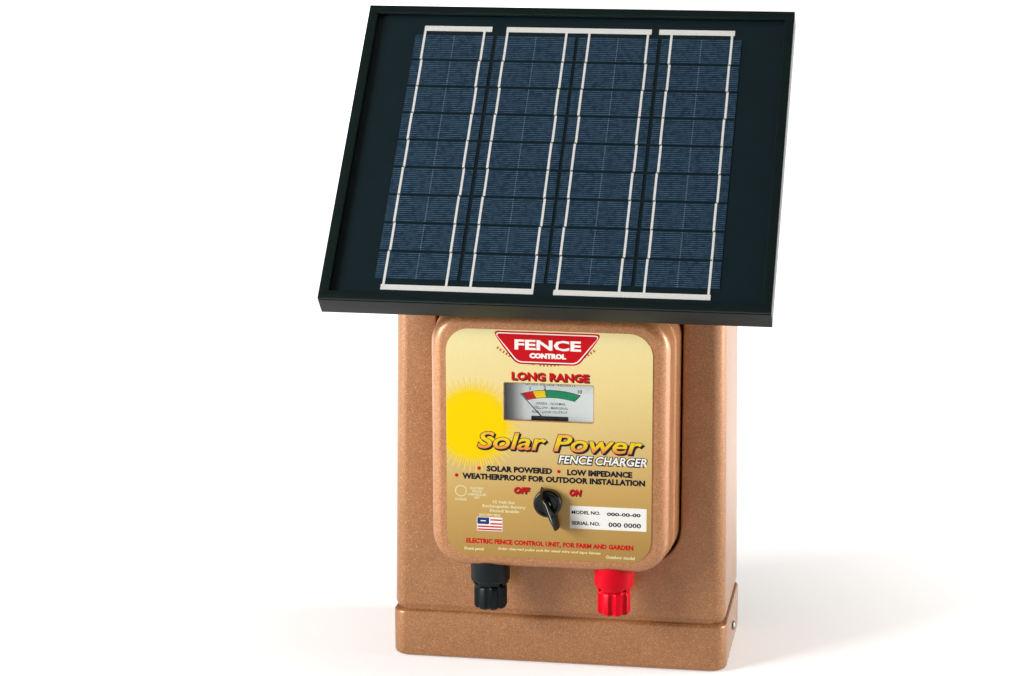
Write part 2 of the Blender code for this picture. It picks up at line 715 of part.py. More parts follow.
def module_underside(level):
    """The height of the module's underside at a place along Y."""
    start = MODULE_FACE + MODULE_EDGE
    slope = MODULE_FLARE / (MODULE_FLARE_END - start)
    return MODULE_CENTRE - MODULE_HALF_HEIGHT - (level - start) * slope


def cap_outline(radius, flute):
    """The cap's outline, with a round-bottomed flute between each pair of ribs."""
    points = []
    for step in range(FLUTES * FLUTE_STEPS):
        angle = 2 * math.pi * step / (FLUTES * FLUTE_STEPS)
        depth = flute * max(0.0, math.cos(angle * FLUTES)) ** 0.6
        points.append(((radius - depth) * math.cos(angle), (radius - depth) * math.sin(angle)))
    return points


def build_terminal(name, side, material_name):
    """One output terminal, round an upright axis under the module."""
    at = (side * TERMINAL_X, TERMINAL_Y, COLLAR_LOW)
    build_stud(name, at)
    build_collar(name, at, material_name)
    washer = [(STUD_RADIUS + 0.4, 1.7), (11.8, 1.7), (11.8, 3.0), (STUD_RADIUS + 0.4, 3.0)]
    smooth(add_object(f"{name}_washer", turned(washer, 24, ring=True), "brass", at))
    build_cap(name, at, material_name)


def build_stud(name, at):
    """The threaded stud, whose head lies inside the module."""
    head = module_underside(TERMINAL_Y) - COLLAR_LOW + SHELL + 1.6
    profile = [(0, -15.5), (STUD_RADIUS - 0.6, -15.5), (STUD_RADIUS, -14.8), (STUD_RADIUS, head),
               (6, head), (6, head + 4), (0, head + 4)]
    smooth(add_object(f"{name}_stud", turned(profile, 16), "brass", at))


def build_collar(name, at, material_name):
    """The insulating collar, which fits the module's rounded underside and has wire slots below."""
    top = 27
    profile = [(STUD_RADIUS + 0.4, 3.4), (12.5, 3.4), (12.5, 0), (COLLAR_RADIUS - 1.6, 0),
               (COLLAR_RADIUS - 1.1, 2.6), (COLLAR_RADIUS, 3.6), (COLLAR_RADIUS, top),
               (STUD_RADIUS + 0.4, top)]
    collar = add_object(f"{name}_collar", turned(profile, 24, ring=True), material_name, at)
    combine(collar, moved(module_body(-GAP, MODULE_FACE - GAP, MODULE_RIM), -Vector(at)))
    for turn in range(NOTCHES):
        notch = box((10, -1.6, -4), (20, 1.6, 2.4))
        spin = Matrix.Rotation(math.tau * (turn + 0.5) / NOTCHES, 3, "Z")
        bmesh.ops.rotate(notch, cent=(0, 0, 0), verts=notch.verts, matrix=spin)
        combine(collar, notch)
    smooth(collar)


def build_cap(name, at, material_name):
    """The fluted cap, whose boss reaches up into the collar."""
    length = COLLAR_LOW - CAP_LOW
    levels = ((-GAP, 11.0, 0.0), (-1.6, 12.6, 0.6), (-3.4, CAP_RADIUS, 2.4),
              (-length + 1.2, CAP_RADIUS, 2.6), (-length, CAP_RADIUS - 1, 2.6))
    rings = [[(x, y, height) for x, y in cap_outline(radius, flute)] for height, radius, flute in levels]
    cap = add_object(f"{name}_knob", loft(rings), material_name, at)
    combine(cap, turned([(0, -2), (9, -2), (9, 1.4), (0, 1.4)], 24), "UNION")
    drill(cap, (0, 0, 0), (0, 0, 1), STUD_RADIUS + 0.3, -16.5, 10)
    smooth(cap)


# ---------------------------------------------------------------- battery

def build_battery():
    """The battery, its strap and its two leads."""
    floor = COVER_PLATE + GAP
    top = floor + BATTERY_HEIGHT
    back = BATTERY_FRONT + BATTERY_DEPTH
    half = BATTERY_WIDTH / 2
    shape = prism(rounded((-half, BATTERY_FRONT), (half, back), 2, 2), floor, top - 4)
    battery = add_object("battery", shape, "battery_case")
    combine(battery, box((-half + 6, BATTERY_FRONT + 5, top - 10), (half - 6, back - 5, top)), "UNION")
    post_y = BATTERY_FRONT + 14
    for side in (-1, 1):
        combine(battery, box((side * 62 - 2.4, post_y - 0.5, top - 5),
                             (side * 62 + 2.4, post_y + 0.5, top + 6)), "UNION")
    smooth(battery)

    sheet = 1.5
    low, high = BATTERY_FRONT - GAP, back + GAP
    crown = top + GAP
    outline = [(low - 13, floor), (low, floor), (low, crown), (high, crown), (high, floor),
               (high + 13, floor), (high + 13, floor + sheet), (high + sheet, floor + sheet),
               (high + sheet, crown + sheet), (low - sheet, crown + sheet),
               (low - sheet, floor + sheet), (low - 13, floor + sheet)]
    add_object("battery_strap", prism(outline, -12.5, 12.5, "X"), "plated_steel")

    entry = POCKET_BACK + SHELL / 2
    for name, side, material_name in (("battery_lead_red", -1, "red_wire"),
                                      ("battery_lead_black", 1, "black_wire")):
        knots = [(side * 62, post_y, top + 6.6), (side * 61, post_y + 1, top + 22),
                 (side * 38, post_y + 8, top + 42), (side * 8, entry + 24, GROMMET_HEIGHT + 1),
                 (side * 2.4, entry + 8, GROMMET_HEIGHT), (side * 2.4, entry - 14, GROMMET_HEIGHT)]
        smooth(add_object(name, cable(knots, 1.7), material_name))


# ---------------------------------------------------------------- solar panel

def on_panel(x, v, out):
    """Turn panel coordinates into the object's own frame."""
    tilt = math.radians(PANEL_TILT)
    return (x, PANEL_EDGE[1] + v * math.cos(tilt) - out * math.sin(tilt),
            PANEL_EDGE[2] + v * math.sin(tilt) + out * math.cos(tilt))


def frame_profile():
    """The frame's section: distance in from its outer side, and height out of the panel."""
    under = -PANEL_THICKNESS
    return [(0, under), (FLANGE, under), (FLANGE, under + 1.6), (FRAME_WALL, under + 1.6),
            (FRAME_WALL, SHELF_TOP - SHELF), (LIP, SHELF_TOP - SHELF), (LIP, SHELF_TOP),
            (FRAME_WALL, SHELF_TOP), (FRAME_WALL, GLASS_FACE + GAP), (LIP, GLASS_FACE + GAP),
            (LIP, -0.4), (LIP - 0.4, 0), (0.5, 0), (0, -0.5)]


def frame_rail(length):
    """A mitred rail along X from the middle, with its outer side at Y = 0."""
    mitre_gap = 0.1
    ends = []
    for side in (-1, 1):
        ends.append([(side * (length / 2 - inward - mitre_gap), inward, out)
                     for inward, out in frame_profile()])
    return loft(ends)


def build_frame(panel):
    """Four mitred rails round the panel."""
    middle = PANEL_LENGTH / 2
    rails = (("frame_rail_bottom", PANEL_WIDTH, (0, 0, 0), 0),
             ("frame_rail_right", PANEL_LENGTH, (PANEL_WIDTH / 2, middle, 0), 90),
             ("frame_rail_top", PANEL_WIDTH, (0, PANEL_LENGTH, 0), 180),
             ("frame_rail_left", PANEL_LENGTH, (-PANEL_WIDTH / 2, middle, 0), 270))
    for name, length, at, turn in rails:
        rail = add_object(name, frame_rail(length), "panel_frame", at, panel)
        rail.rotation_euler.z = math.radians(turn)
        if name in ("frame_rail_bottom", "frame_rail_top"):
            for side in (-1, 1):
                drill(rail, (side * PANEL_SCREW_X, PANEL_SCREW_V[0], -PANEL_THICKNESS), (0, 0, 1),
                      SMALL_SCREW_HOLE, -4, 4)


def build_laminate(panel):
    """The glass and the sheet behind the cells."""
    inset = FRAME_WALL + GAP
    low = (-PANEL_WIDTH / 2 + inset, inset)
    high = (PANEL_WIDTH / 2 - inset, PANEL_LENGTH - inset)
    add_object("panel_glass", box((*low, GLASS_BACK), (*high, GLASS_FACE)), "panel_glass", parent=panel)
    add_object("panel_backsheet", box((*low, SHEET_BACK), (*high, SHEET_FACE)), "backsheet", parent=panel)


def plate_from_rectangles(rectangles, low, high):
    """A flat plate that covers a union of rectangles that share edges or overlap."""
    xs = sorted({x for left, _, right, _ in rectangles for x in (left, right)})
    ys = sorted({y for _, bottom, _, top in rectangles for y in (bottom, top)})

    def covered(x, y):
        return any(left < x < right and bottom < y < top for left, bottom, right, top in rectangles)

    shape = bmesh.new()
    for left, right in zip(xs, xs[1:]):
        for bottom, top in zip(ys, ys[1:]):
            if covered((left + right) / 2, (bottom + top) / 2):
                corners = [(left, bottom), (right, bottom), (right, top), (left, top)]
                shape.faces.new([shape.verts.new((x, y, low)) for x, y in corners])
    bmesh.ops.remove_doubles(shape, verts=shape.verts, dist=0.001)
    sides = bmesh.ops.extrude_face_region(shape, geom=list(shape.faces))
    verts = [item for item in sides["geom"] if isinstance(item, bmesh.types.BMVert)]
    bmesh.ops.translate(shape, vec=(0, 0, high - low), verts=verts)
    bmesh.ops.dissolve_limit(shape, angle_limit=0.01, verts=shape.verts, edges=shape.edges)
    return shape


def string_rectangles(centre, low, high):
    """Nine cells in a row and the two ribbons that join them, which run from low to high."""
    parts = []
    for row in range(CELL_ROWS):
        foot = CELL_FIRST + row * CELL_PITCH
        parts.append((centre - CELL_WIDTH / 2, foot, centre + CELL_WIDTH / 2, foot + CELL_HEIGHT))
    for side in (-1, 1):
        middle = centre + side * RIBBON_OFFSET
        parts.append((middle - RIBBON_WIDTH / 2, low, middle + RIBBON_WIDTH / 2, high))
    return parts


def build_strings(panel):
    """Four cell strings, each with the bus bars that it carries.

    A lower bar joins strings 1 and 2 and strings 3 and 4, and an upper bar joins strings 2 and 3.
    Strings 1 and 4 end in an upper bar of their own.
    """
    reach = RIBBON_OFFSET + RIBBON_WIDTH / 2
    first, second, third, fourth = STRING_CENTRES
    lower = {0: (first - reach - 1.4, second + reach), 2: (third - reach - 1.4, fourth + reach + 1)}
    upper = {0: (first - reach, first + reach + 5.5), 1: (second - reach, third + reach + 1.4),
             3: (fourth - reach - 10, fourth + reach + 1.2)}
    for index, centre in enumerate(STRING_CENTRES):
        bars = []
        low, high = BUS_LOW[1] + GAP, BUS_HIGH[0] - GAP
        if index in lower:
            left, right = lower[index]
            bars.append((left, BUS_LOW[0], right, BUS_LOW[1]))
            low = BUS_LOW[1]
        if index in upper:
            left, right = upper[index]
            bars.append((left, BUS_HIGH[0], right, BUS_HIGH[1]))
            high = BUS_HIGH[0]
        parts = string_rectangles(centre, low, high) + bars
        add_object(f"cell_string_{index + 1}", plate_from_rectangles(parts, CELL_BACK, CELL_FACE),
                   "solar_cell", parent=panel)


def build_junction_box(panel):
    """The junction box under the panel, its lid and the cable into the case."""
    top = SHEET_BACK - GAP
    low = BOX_BASE
    body = add_object("junction_box", prism(rounded(BOX_LOW, BOX_HIGH, 4, 3), low, top), "black_plastic",
                      parent=panel)
    inner_low = (BOX_LOW[0] + 2, BOX_LOW[1] + 2)
    inner_high = (BOX_HIGH[0] - 2, BOX_HIGH[1] - 2)
    combine(body, prism(rounded(inner_low, inner_high, 2, 3), low - 5, top - 2))
    drill(body, (0, BOX_LOW[1], CABLE_OUT), (0, 1, 0), CABLE_RADIUS + 0.4)
    smooth(body)
    lid = prism(rounded(BOX_LOW, BOX_HIGH, 4, 3), low - GAP - 1.8, low - GAP)
    smooth(add_object("junction_box_lid", lid, "black_plastic", parent=panel))

    knots = [(0, BOX_LOW[1] + 8, CABLE_OUT), (0, BOX_LOW[1] - 4, CABLE_OUT),
             (0, CABLE_ENTRY_V + 5, CABLE_OUT - 1.5), (0, CABLE_ENTRY_V, -26), (0, CABLE_ENTRY_V, -29),
             (0, CABLE_ENTRY_V, -36), (0, CABLE_ENTRY_V - 4, -60), (0, CABLE_ENTRY_V - 12, -90)]
    smooth(add_object("panel_cable", cable(knots, CABLE_RADIUS), "black_wire", parent=panel))


def build_brackets(panel):
    """Two hat-section rails that carry the panel on the roof, with their fasteners."""
    top = -PANEL_THICKNESS - GAP
    low = BRACKET_BASE + GAP
    sheet = BRACKET_SHEET
    half = [(7, low), (7, top - sheet), (14, top - sheet), (14, top), (7 - sheet, top),
            (7 - sheet, low + sheet)]
    outline = [*half, *[(-x, z) for x, z in reversed(half)]]
    for name, side in (("panel_bracket_left", -1), ("panel_bracket_right", 1)):
        at = (side * BRACKET_X, 0, 0)
        bracket = add_object(name, prism(outline, BRACKET_END, PANEL_LENGTH - BRACKET_END, "Y"),
                             "panel_frame", at, panel)
        drill(bracket, (0, BRACKET_BOLT_V, low), (0, 0, 1), BOLT_HOLE, -5, 4)
        for v in PANEL_SCREW_V:
            drill(bracket, (side * (PANEL_SCREW_X - BRACKET_X), v, top), (0, 0, 1), SMALL_SCREW_HOLE,
                  -4, 4)
        bolt = [(0, -3.5), (4.6, -3.5), (4.6, 0), (2.6, 0), (2.6, 9.2), (0, 9.2)]
        bolt_at = (side * BRACKET_X, BRACKET_BOLT_V, BRACKET_BASE - SHELL - GAP)
        smooth(add_object(name.replace("panel_bracket", "bracket_bolt"), turned(bolt, 12), "plated_steel",
                          bolt_at, panel))
    corners = (("panel_screw_1", -1, 0), ("panel_screw_2", 1, 0), ("panel_screw_3", -1, 1),
               ("panel_screw_4", 1, 1))
    for name, side, end in corners:
        at = (side * PANEL_SCREW_X, PANEL_SCREW_V[end], top - sheet - GAP)
        pan_screw(name, at, (0, 0, 1), 8, radius=1.5, head=2.9, parent=panel)


def build_panel():
    """The solar panel, modelled flat on an empty that leans back at the roof's slope."""
    panel = bpy.data.objects.new("panel_slope", None)
    panel.location = Vector(PANEL_EDGE) * MM
    panel.rotation_euler.x = math.radians(PANEL_TILT)
    bpy.context.scene.collection.objects.link(panel)
    build_frame(panel)
    build_laminate(panel)
    build_strings(panel)
    build_junction_box(panel)
    build_brackets(panel)


def main():
    """Build the whole energizer."""
    clear_scene()
    build_case()
    build_bottom_cover()
    build_hanger()
    build_module_shell()
    build_module_back()
    build_module_fasteners()
    build_label()
    build_electronics()
    build_meter()
    build_switch()
    build_terminal("ground", -1, "terminal_black")
    build_terminal("fence", 1, "terminal_red")
    build_battery()
    build_panel()
    bpy.context.view_layer.update()


main()
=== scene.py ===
"""The looks of a solar fence energizer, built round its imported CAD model.

Lengths are in millimetres here, and MM turns them into metres where a mesh is made. Every mesh is
made in the frame's own coordinates: +Z is up, +X is right and the front faces -Y.
"""
import math

import bmesh
import bpy
from mathutils import Matrix, Vector


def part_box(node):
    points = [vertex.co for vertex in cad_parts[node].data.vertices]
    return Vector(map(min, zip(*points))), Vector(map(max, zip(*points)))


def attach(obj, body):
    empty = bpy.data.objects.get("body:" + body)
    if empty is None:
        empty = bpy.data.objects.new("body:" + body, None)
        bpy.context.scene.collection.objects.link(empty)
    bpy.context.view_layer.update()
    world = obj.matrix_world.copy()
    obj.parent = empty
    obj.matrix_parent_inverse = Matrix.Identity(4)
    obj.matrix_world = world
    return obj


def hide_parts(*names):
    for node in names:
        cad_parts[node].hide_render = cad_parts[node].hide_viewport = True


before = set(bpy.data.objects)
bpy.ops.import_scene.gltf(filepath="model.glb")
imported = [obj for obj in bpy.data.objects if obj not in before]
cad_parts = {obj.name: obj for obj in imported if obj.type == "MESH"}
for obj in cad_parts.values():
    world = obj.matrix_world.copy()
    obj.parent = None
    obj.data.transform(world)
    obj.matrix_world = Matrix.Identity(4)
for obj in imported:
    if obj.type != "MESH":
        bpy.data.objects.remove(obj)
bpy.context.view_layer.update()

MM = 0.001
ROOT2 = math.sqrt(2)


# ---------------------------------------------------------------- places taken from the CAD model

def span(node):
    """A CAD node's lowest and highest corners, in millimetres."""
    low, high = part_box(node)
    return low / MM, high / MM


def centre(node):
    """The middle of a CAD node's box, in millimetres."""
    low, high = span(node)
    return (low + high) / 2


def slope_span(node):
    """How far a node reaches along the panel's slope and out of it: two (low, high) pairs."""
    points = [v.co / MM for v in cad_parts[node].data.vertices]
    along = [(p.y + p.z) / ROOT2 for p in points]
    out = [(p.z - p.y) / ROOT2 for p in points]
    return (min(along), max(along)), (min(out), max(out))


CASE_HIGH = span("case_shell")[1]
SKIRT_HALF_WIDTH = CASE_HIGH.x
SKIRT_HALF_DEPTH = CASE_HIGH.y
SKIRT_HEIGHT = 41.0
FOOT_RADIUS = 4.0
NECK_INSET = 3.4
NECK_RISE = 1.2
WALL_FOOT = 47.0
WALL_HALF_WIDTH = SKIRT_HALF_WIDTH - 1.4
WALL_FRONT = -SKIRT_HALF_DEPTH + 2.0
WALL_BACK = SKIRT_HALF_DEPTH - 2.0
WALL_TAPER = 0.0133
FRONT_TAPER = 0.0100
CASE_CORNER = 11.0
SHELL = 3.0
ROOF_RISE = 437.5
ABOVE_ROOF = WALL_FOOT + 480.0

POCKET_HALF_WIDTH = 101.5
POCKET_LOW = 91.0
POCKET_HIGH = 316.5
POCKET_BACK = -31.0
POCKET_OPEN = -90.0
POCKET_FOOT_RADIUS = 32.0
POCKET_HEAD_RADIUS = 24.0

MODULE_LOW, MODULE_HIGH = span("module_can")
MODULE_CAD_FLARE = 2.5
MODULE_FLARE = 3.4
MODULE_STEP = -82.0
MODULE_HALF_WIDTH = MODULE_HIGH.x - MODULE_CAD_FLARE
MODULE_CENTRE = (MODULE_LOW.z + MODULE_HIGH.z) / 2
MODULE_HALF_HEIGHT = MODULE_HIGH.z - MODULE_CENTRE - MODULE_CAD_FLARE
MODULE_FACE = MODULE_LOW.y
MODULE_RIM = MODULE_HIGH.y
MODULE_CORNER = 27.0
MODULE_EDGE = 9.5
MODULE_FLARE_END = WALL_FRONT + 1.0

LABEL_LOW, LABEL_HIGH = span("face_label")
LABEL_FACE = LABEL_LOW.y
LABEL_CORNER = 19.0
WINDOW_LOW, WINDOW_HIGH = span("meter_window")
WINDOW_CORNER = 1.5
SUN = (-61.4, 217.5)
SUN_RADIUS = 25.5
RAY_REACH = 39.5
SUN_FADE = (0.020, 0.042)
TITLE_BAND = (0.196, 0.216)
SHADE_LEFT = (-0.037, -0.022)
SHADE_TOP = (0.2555, 0.2475)
DIAL_LOW, DIAL_HIGH = span("meter_dial")
KNOB_LOW, KNOB_HIGH = span("switch_knob")
SHAFT = centre("switch_shaft")
SHAFT_HOLE = 4.8
PANEL_ALONG = (slope_span("frame_rail_bottom")[0][0], slope_span("frame_rail_top")[0][1])
PANEL_OUT = slope_span("frame_rail_bottom")[1]
PANEL_LENGTH = PANEL_ALONG[1] - PANEL_ALONG[0]
PANEL_WIDTH = span("frame_rail_bottom")[1].x * 2 + 0.2
PANEL_THICKNESS = PANEL_OUT[1] - PANEL_OUT[0]


def panel_matrix():
    """The matrix that lays a shape drawn on the flat panel onto the slope."""
    along, out = PANEL_ALONG[0], PANEL_OUT[1]
    edge = Vector((0, (along - out) / ROOT2, (along + out) / ROOT2))
    return Matrix.Translation(edge) @ Matrix.Rotation(math.radians(45), 4, "X")


ON_PANEL = panel_matrix()


# ---------------------------------------------------------------- shapes

def rounded(low, high, radii, steps=12):
    """Outline a rectangle with round corners: upper right, upper left, lower left, lower right."""
    if isinstance(radii, (int, float)):
        radii = (radii,) * 4
    corners = ((high[0], high[1]), (low[0], high[1]), (low[0], low[1]), (high[0], low[1]))
    signs = ((1, 1), (-1, 1), (-1, -1), (1, -1))
    points = []
    for quarter, ((x, y), (side, rise), radius) in enumerate(zip(corners, signs, radii)):
        for step in range(steps + 1):
            angle = math.pi / 2 * (quarter + step / steps)
            points.append((x - side * radius + radius * math.cos(angle),
                           y - rise * radius + radius * math.sin(angle)))
    return points


def circle(radius, sides=48, at=(0, 0)):
    """Outline a circle."""
    angles = [2 * math.pi * step / sides for step in range(sides)]
    return [(at[0] + radius * math.cos(a), at[1] + radius * math.sin(a)) for a in angles]


def skin(rings, shape=None):
    """Skin a stack of rings that have equal numbers of points, and cap both ends."""
    shape = shape or bmesh.new()
    loops = [[shape.verts.new(point) for point in ring] for ring in rings]
    for lower, upper in zip(loops, loops[1:]):
        for here in range(len(lower)):
            there = (here + 1) % len(lower)
            shape.faces.new((lower[here], lower[there], upper[there], upper[here]))
    shape.faces.new(loops[0])
    shape.faces.new(loops[-1])
    return shape


def prism(outline, start, end, shape=None):
    """Extrude a flat outline of (X, Z) pairs along Y."""
    return skin([[(x, level, z) for x, z in outline] for level in (start, end)], shape)


def block(low, high, shape=None):
    """A plain block between two corners."""
    corners = ((low[0], low[1]), (high[0], low[1]), (high[0], high[1]), (low[0], high[1]))
    return skin([[(x, y, level) for x, y in corners] for level in (low[2], high[2])], shape)


def turned(profile, sides=48, ring=False, axis="Z"):
    """Revolve (radius, height) pairs about Z, or about -Y for a part that faces the front."""
    shape = bmesh.new()
    rings = []
    for radius, height in profile:
        points = [(radius * c, radius * s, height) for c, s in circle(1, sides)]
        if axis == "Y":
            points = [(x, -z, y) for x, y, z in points]
        if radius == 0:
            points = points[:1]
        rings.append([shape.verts.new(point) for point in points])
    pairs = list(zip(rings, rings[1:]))
    if ring:
        pairs.append((rings[-1], rings[0]))
    for lower, upper in pairs:
        for here in range(sides):
            there = (here + 1) % sides
            corners = [lower[here % len(lower)], lower[there % len(lower)],
                       upper[there % len(upper)], upper[here % len(upper)]]
            shape.faces.new(list(dict.fromkeys(corners)))
    return shape


def bore(radius, back, front, at=(0, 0, 0), sides=48):
    """A round plug that faces the front, to cut a hole with."""
    return moved(turned([(0, back), (radius, back), (radius, front), (0, front)], sides, axis="Y"), at)


def quarter(steps):
    """The cosine and sine of each angle on the way through a quarter turn."""
    angles = [math.pi / 2 * step / steps for step in range(steps + 1)]
    return [(math.cos(angle), math.sin(angle)) for angle in angles]


def swung(points, degrees):
    """Flat points turned clockwise about the origin."""
    turn = math.radians(degrees)
    return [(x * math.cos(turn) + z * math.sin(turn), z * math.cos(turn) - x * math.sin(turn))
            for x, z in points]


def arc(middle, radius, start, end, steps):
    """Points along an arc in a profile, from one angle in degrees to another."""
    angles = [math.radians(start + (end - start) * step / steps) for step in range(steps + 1)]
    return [(middle[0] + radius * math.cos(a), middle[1] + radius * math.sin(a)) for a in angles]


def moved(shape, offset):
    """Shift a shape and return it."""
    bmesh.ops.translate(shape, vec=Vector(offset), verts=shape.verts)
    return shape


def transformed(shape, matrix):
    """Apply a matrix to a shape and return it."""
    bmesh.ops.transform(shape, matrix=matrix, verts=shape.verts)
    return shape


def added(name, data):
    """A new object in the scene."""
    obj = bpy.data.objects.new(name, data)
    bpy.context.scene.collection.objects.link(obj)
    return obj


def mesh_from(name, shape):
    """A mesh from a shape, which is used up."""
    mesh = bpy.data.meshes.new(name)
    shape.to_mesh(mesh)
    shape.free()
    return mesh


def piece(name, shape, ink, body="root", replaces=(), angle=35):
    """Make a visible piece from a shape in millimetres, hang it on the body it rides on, and hide the
    CAD nodes it stands for.
    """
    bmesh.ops.recalc_face_normals(shape, faces=shape.faces)
    bmesh.ops.scale(shape, vec=(MM, MM, MM), verts=shape.verts)
    mesh = mesh_from(name, shape)
    mesh.materials.append(INK[ink])
    mesh.shade_smooth()
    mesh.set_sharp_from_angle(angle=math.radians(angle))
    obj = added(name, mesh)
    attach(obj, body)
    if replaces:
        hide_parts(*replaces)
    return obj


def joined(shape, other):
    """Add one shape's faces to another."""
    mesh = mesh_from("part", other)
    shape.from_mesh(mesh)
    bpy.data.meshes.remove(mesh)
    return shape


def combined(shape, tool, operation="DIFFERENCE"):
    """Cut a tool out of a shape, or join it on, and return the new shape. Both are used up."""
    objects = []
    for name, item in (("shape", shape), ("tool", tool)):
        bmesh.ops.recalc_face_normals(item, faces=item.faces)
        objects.append(added(name, mesh_from(name, item)))
    body, cutter = objects
    boolean = body.modifiers.new("boolean", "BOOLEAN")
    boolean.operation = operation
    boolean.object = cutter
    bpy.context.view_layer.update()
    result = bmesh.new()
    result.from_object(body, bpy.context.evaluated_depsgraph_get())
    for item in objects:
        mesh = item.data
        bpy.data.objects.remove(item)
        bpy.data.meshes.remove(mesh)
    return result


def ease_edges(obj, width, segments=3, angle=35):
    """Round a piece's sharp edges, and keep the shading smooth over them."""
    bevel = obj.modifiers.new("eased_edges", "BEVEL")
    bevel.width = width * MM
    bevel.segments = segments
    bevel.limit_method = "ANGLE"
    bevel.angle_limit = math.radians(angle)
    bevel.harden_normals = True
    bevel.use_clamp_overlap = True


# ---------------------------------------------------------------- materials

def srgb(red, green, blue):
    """A display colour, 0 to 255, as a linear one."""
    def linear(value):
        value /= 255
        return value / 12.92 if value <= 0.04045 else ((value + 0.055) / 1.055) ** 2.4
    return (linear(red), linear(green), linear(blue), 1.0)


def add(tree, kind, inputs=None, **settings):
    """Add a shader node, set its settings, and set or link its inputs."""
    made = tree.nodes.new("ShaderNode" + kind)
    for key, value in settings.items():
        setattr(made, key, value)
    for key, value in (inputs or {}).items():
        if isinstance(value, bpy.types.NodeSocket):
            tree.links.new(value, made.inputs[key])
        else:
            made.inputs[key].default_value = value
    return made


def math_node(tree, operation, first, second=0.0):
    """A maths node's result."""
    return add(tree, "Math", {0: first, 1: second}, operation=operation).outputs[0]


def mix(tree, factor, first, second, blend="MIX"):
    """A colour mixed from two. Inputs 6 and 7 are the mix node's colours."""
    return add(tree, "Mix", {"Factor": factor, 6: first, 7: second}, data_type="RGBA",
               blend_type=blend).outputs[2]


def start(name, **values):
    """A new material: its node tree, its main shader and its object coordinates."""
    material = bpy.data.materials.new(name)
    material.use_nodes = True
    tree = material.node_tree
    shader = tree.nodes["Principled BSDF"]
    for key, value in values.items():
        shader.inputs[key.replace("_", " ").title().replace("Ior", "IOR")].default_value = value
    coords = add(tree, "TexCoord").outputs["Object"]
    return material, tree, shader, coords


def noise(tree, coords, scale, detail=3.0, roughness=0.5):
    """A noise texture's value, with features about 1 / scale metres wide."""
    return add(tree, "TexNoise", {"Vector": coords, "Scale": scale, "Detail": detail,
                                            "Roughness": roughness}).outputs["Fac"]


def ramp(tree, value, *stops):
    """Colours along a value, from (position, colour) stops."""
    made = add(tree, "ValToRGB", {"Fac": value})
    elements = made.color_ramp.elements
    while len(elements) < len(stops):
        elements.new(0.5)
    for element, (position, colour) in zip(elements, stops):
        element.position = position
        element.color = colour
    return made.outputs["Color"]


def span_of(tree, value, low, high, new_low=0.0, new_high=1.0):
    """A value moved from one span to another."""
    return add(tree, "MapRange", {"Value": value, 1: low, 2: high, 3: new_low,
                                            4: new_high}).outputs[0]


def bump(tree, shader, height, strength, distance=0.0002):
    """Raise the surface by a height, in the shading."""
    made = add(tree, "Bump", {"Height": height, "Strength": strength, "Distance": distance})
    tree.links.new(made.outputs["Normal"], shader.inputs["Normal"])


def grey(value):
    """A neutral colour."""
    return (value, value, value, 1.0)


def toned(colour, share, lift=0.0):
    """A colour made darker or lighter, and lifted off black."""
    return tuple(min(1.0, channel * share + lift) for channel in colour[:3]) + (1.0,)


def paint(tree, shader, colour, glowing=False):
    """Give a surface its colour, and a painted glow in that colour too where it glows."""
    tree.links.new(colour, shader.inputs["Base Color"])
    if glowing:
        tree.links.new(colour, shader.inputs["Emission Color"])


def roughen(tree, shader, value, least, most, low=0.3, high=0.7):
    """Let a value from low to high drive the roughness from least to most."""
    tree.links.new(span_of(tree, value, low, high, least, most), shader.inputs["Roughness"])


def moulded(name, colour, roughness=0.4, grain=900.0, depth=0.15, tint=0.25, gloss=0.5):
    """A moulded or painted surface: colour and gloss that drift a little, and a fine grain."""
    material, tree, shader, coords = start(name, specular_ior_level=gloss)
    drift = noise(tree, coords, 45.0, 4.0)
    fine = noise(tree, coords, grain, 2.0)
    paint(tree, shader, mix(tree, drift, toned(colour, 1 - tint), toned(colour, 1 + tint, 0.001)))
    roughen(tree, shader, fine, roughness * 0.85, roughness * 1.15)
    if depth:
        bump(tree, shader, fine, depth, 0.0001)
    return material


def flake_tone(tree, coords, scale, low, high):
    """A grey that jumps from flake to flake, as metal flakes catch the light."""
    cells = add(tree, "TexVoronoi", {"Vector": coords, "Scale": scale})
    chance = add(tree, "SeparateColor", {"Color": cells.outputs["Color"]}).outputs[0]
    tone = span_of(tree, chance, 0.0, 1.0, low, high)
    return add(tree, "CombineColor", {0: tone, 1: tone, 2: tone}).outputs[0], chance


def copper_paint(name, dark, light):
    """Copper plastic with metal flakes: a warm brown, fine bright specks that are painted glints, and a
    slight orange peel.
    """
    material, tree, shader, coords = start(name, metallic=0.40, coat_weight=0.50,
                                           coat_roughness=0.20, specular_ior_level=0.45)
    clouds = noise(tree, coords, 60.0, 5.0)
    base = mix(tree, clouds, dark, light)
    fine, chance = flake_tone(tree, coords, 1500.0, 0.76, 1.24)
    base = mix(tree, 1.0, base, fine, "MULTIPLY")
    broad, _ = flake_tone(tree, coords, 560.0, 0.95, 1.05)
    base = mix(tree, 1.0, base, broad, "MULTIPLY")
    # painted glints: one flake in twenty is lifted a quarter of the way to a pale copper
    painted_glint = math_node(tree, "GREATER_THAN", chance, 0.95)
    base = mix(tree, math_node(tree, "MULTIPLY", painted_glint, 0.24), base, srgb(250, 190, 142))
    paint(tree, shader, base)
    peel = noise(tree, coords, 340.0, 3.0, 0.6)
    roughen(tree, shader, chance, 0.38, 0.52, 0.0, 1.0)
    bump(tree, shader, peel, 0.14, 0.0004)
    return material


def glossy_black():
    """Polished black phenolic with faint dust."""
    material, tree, shader, coords = start("gloss_black", specular_ior_level=0.38)
    dust = noise(tree, coords, 1500.0, 2.0)
    shader.inputs["Base Color"].default_value = srgb(3, 7, 9)
    roughen(tree, shader, dust, 0.10, 0.34, 0.45, 0.8)
    bump(tree, shader, noise(tree, coords, 260.0), 0.04)
    return material


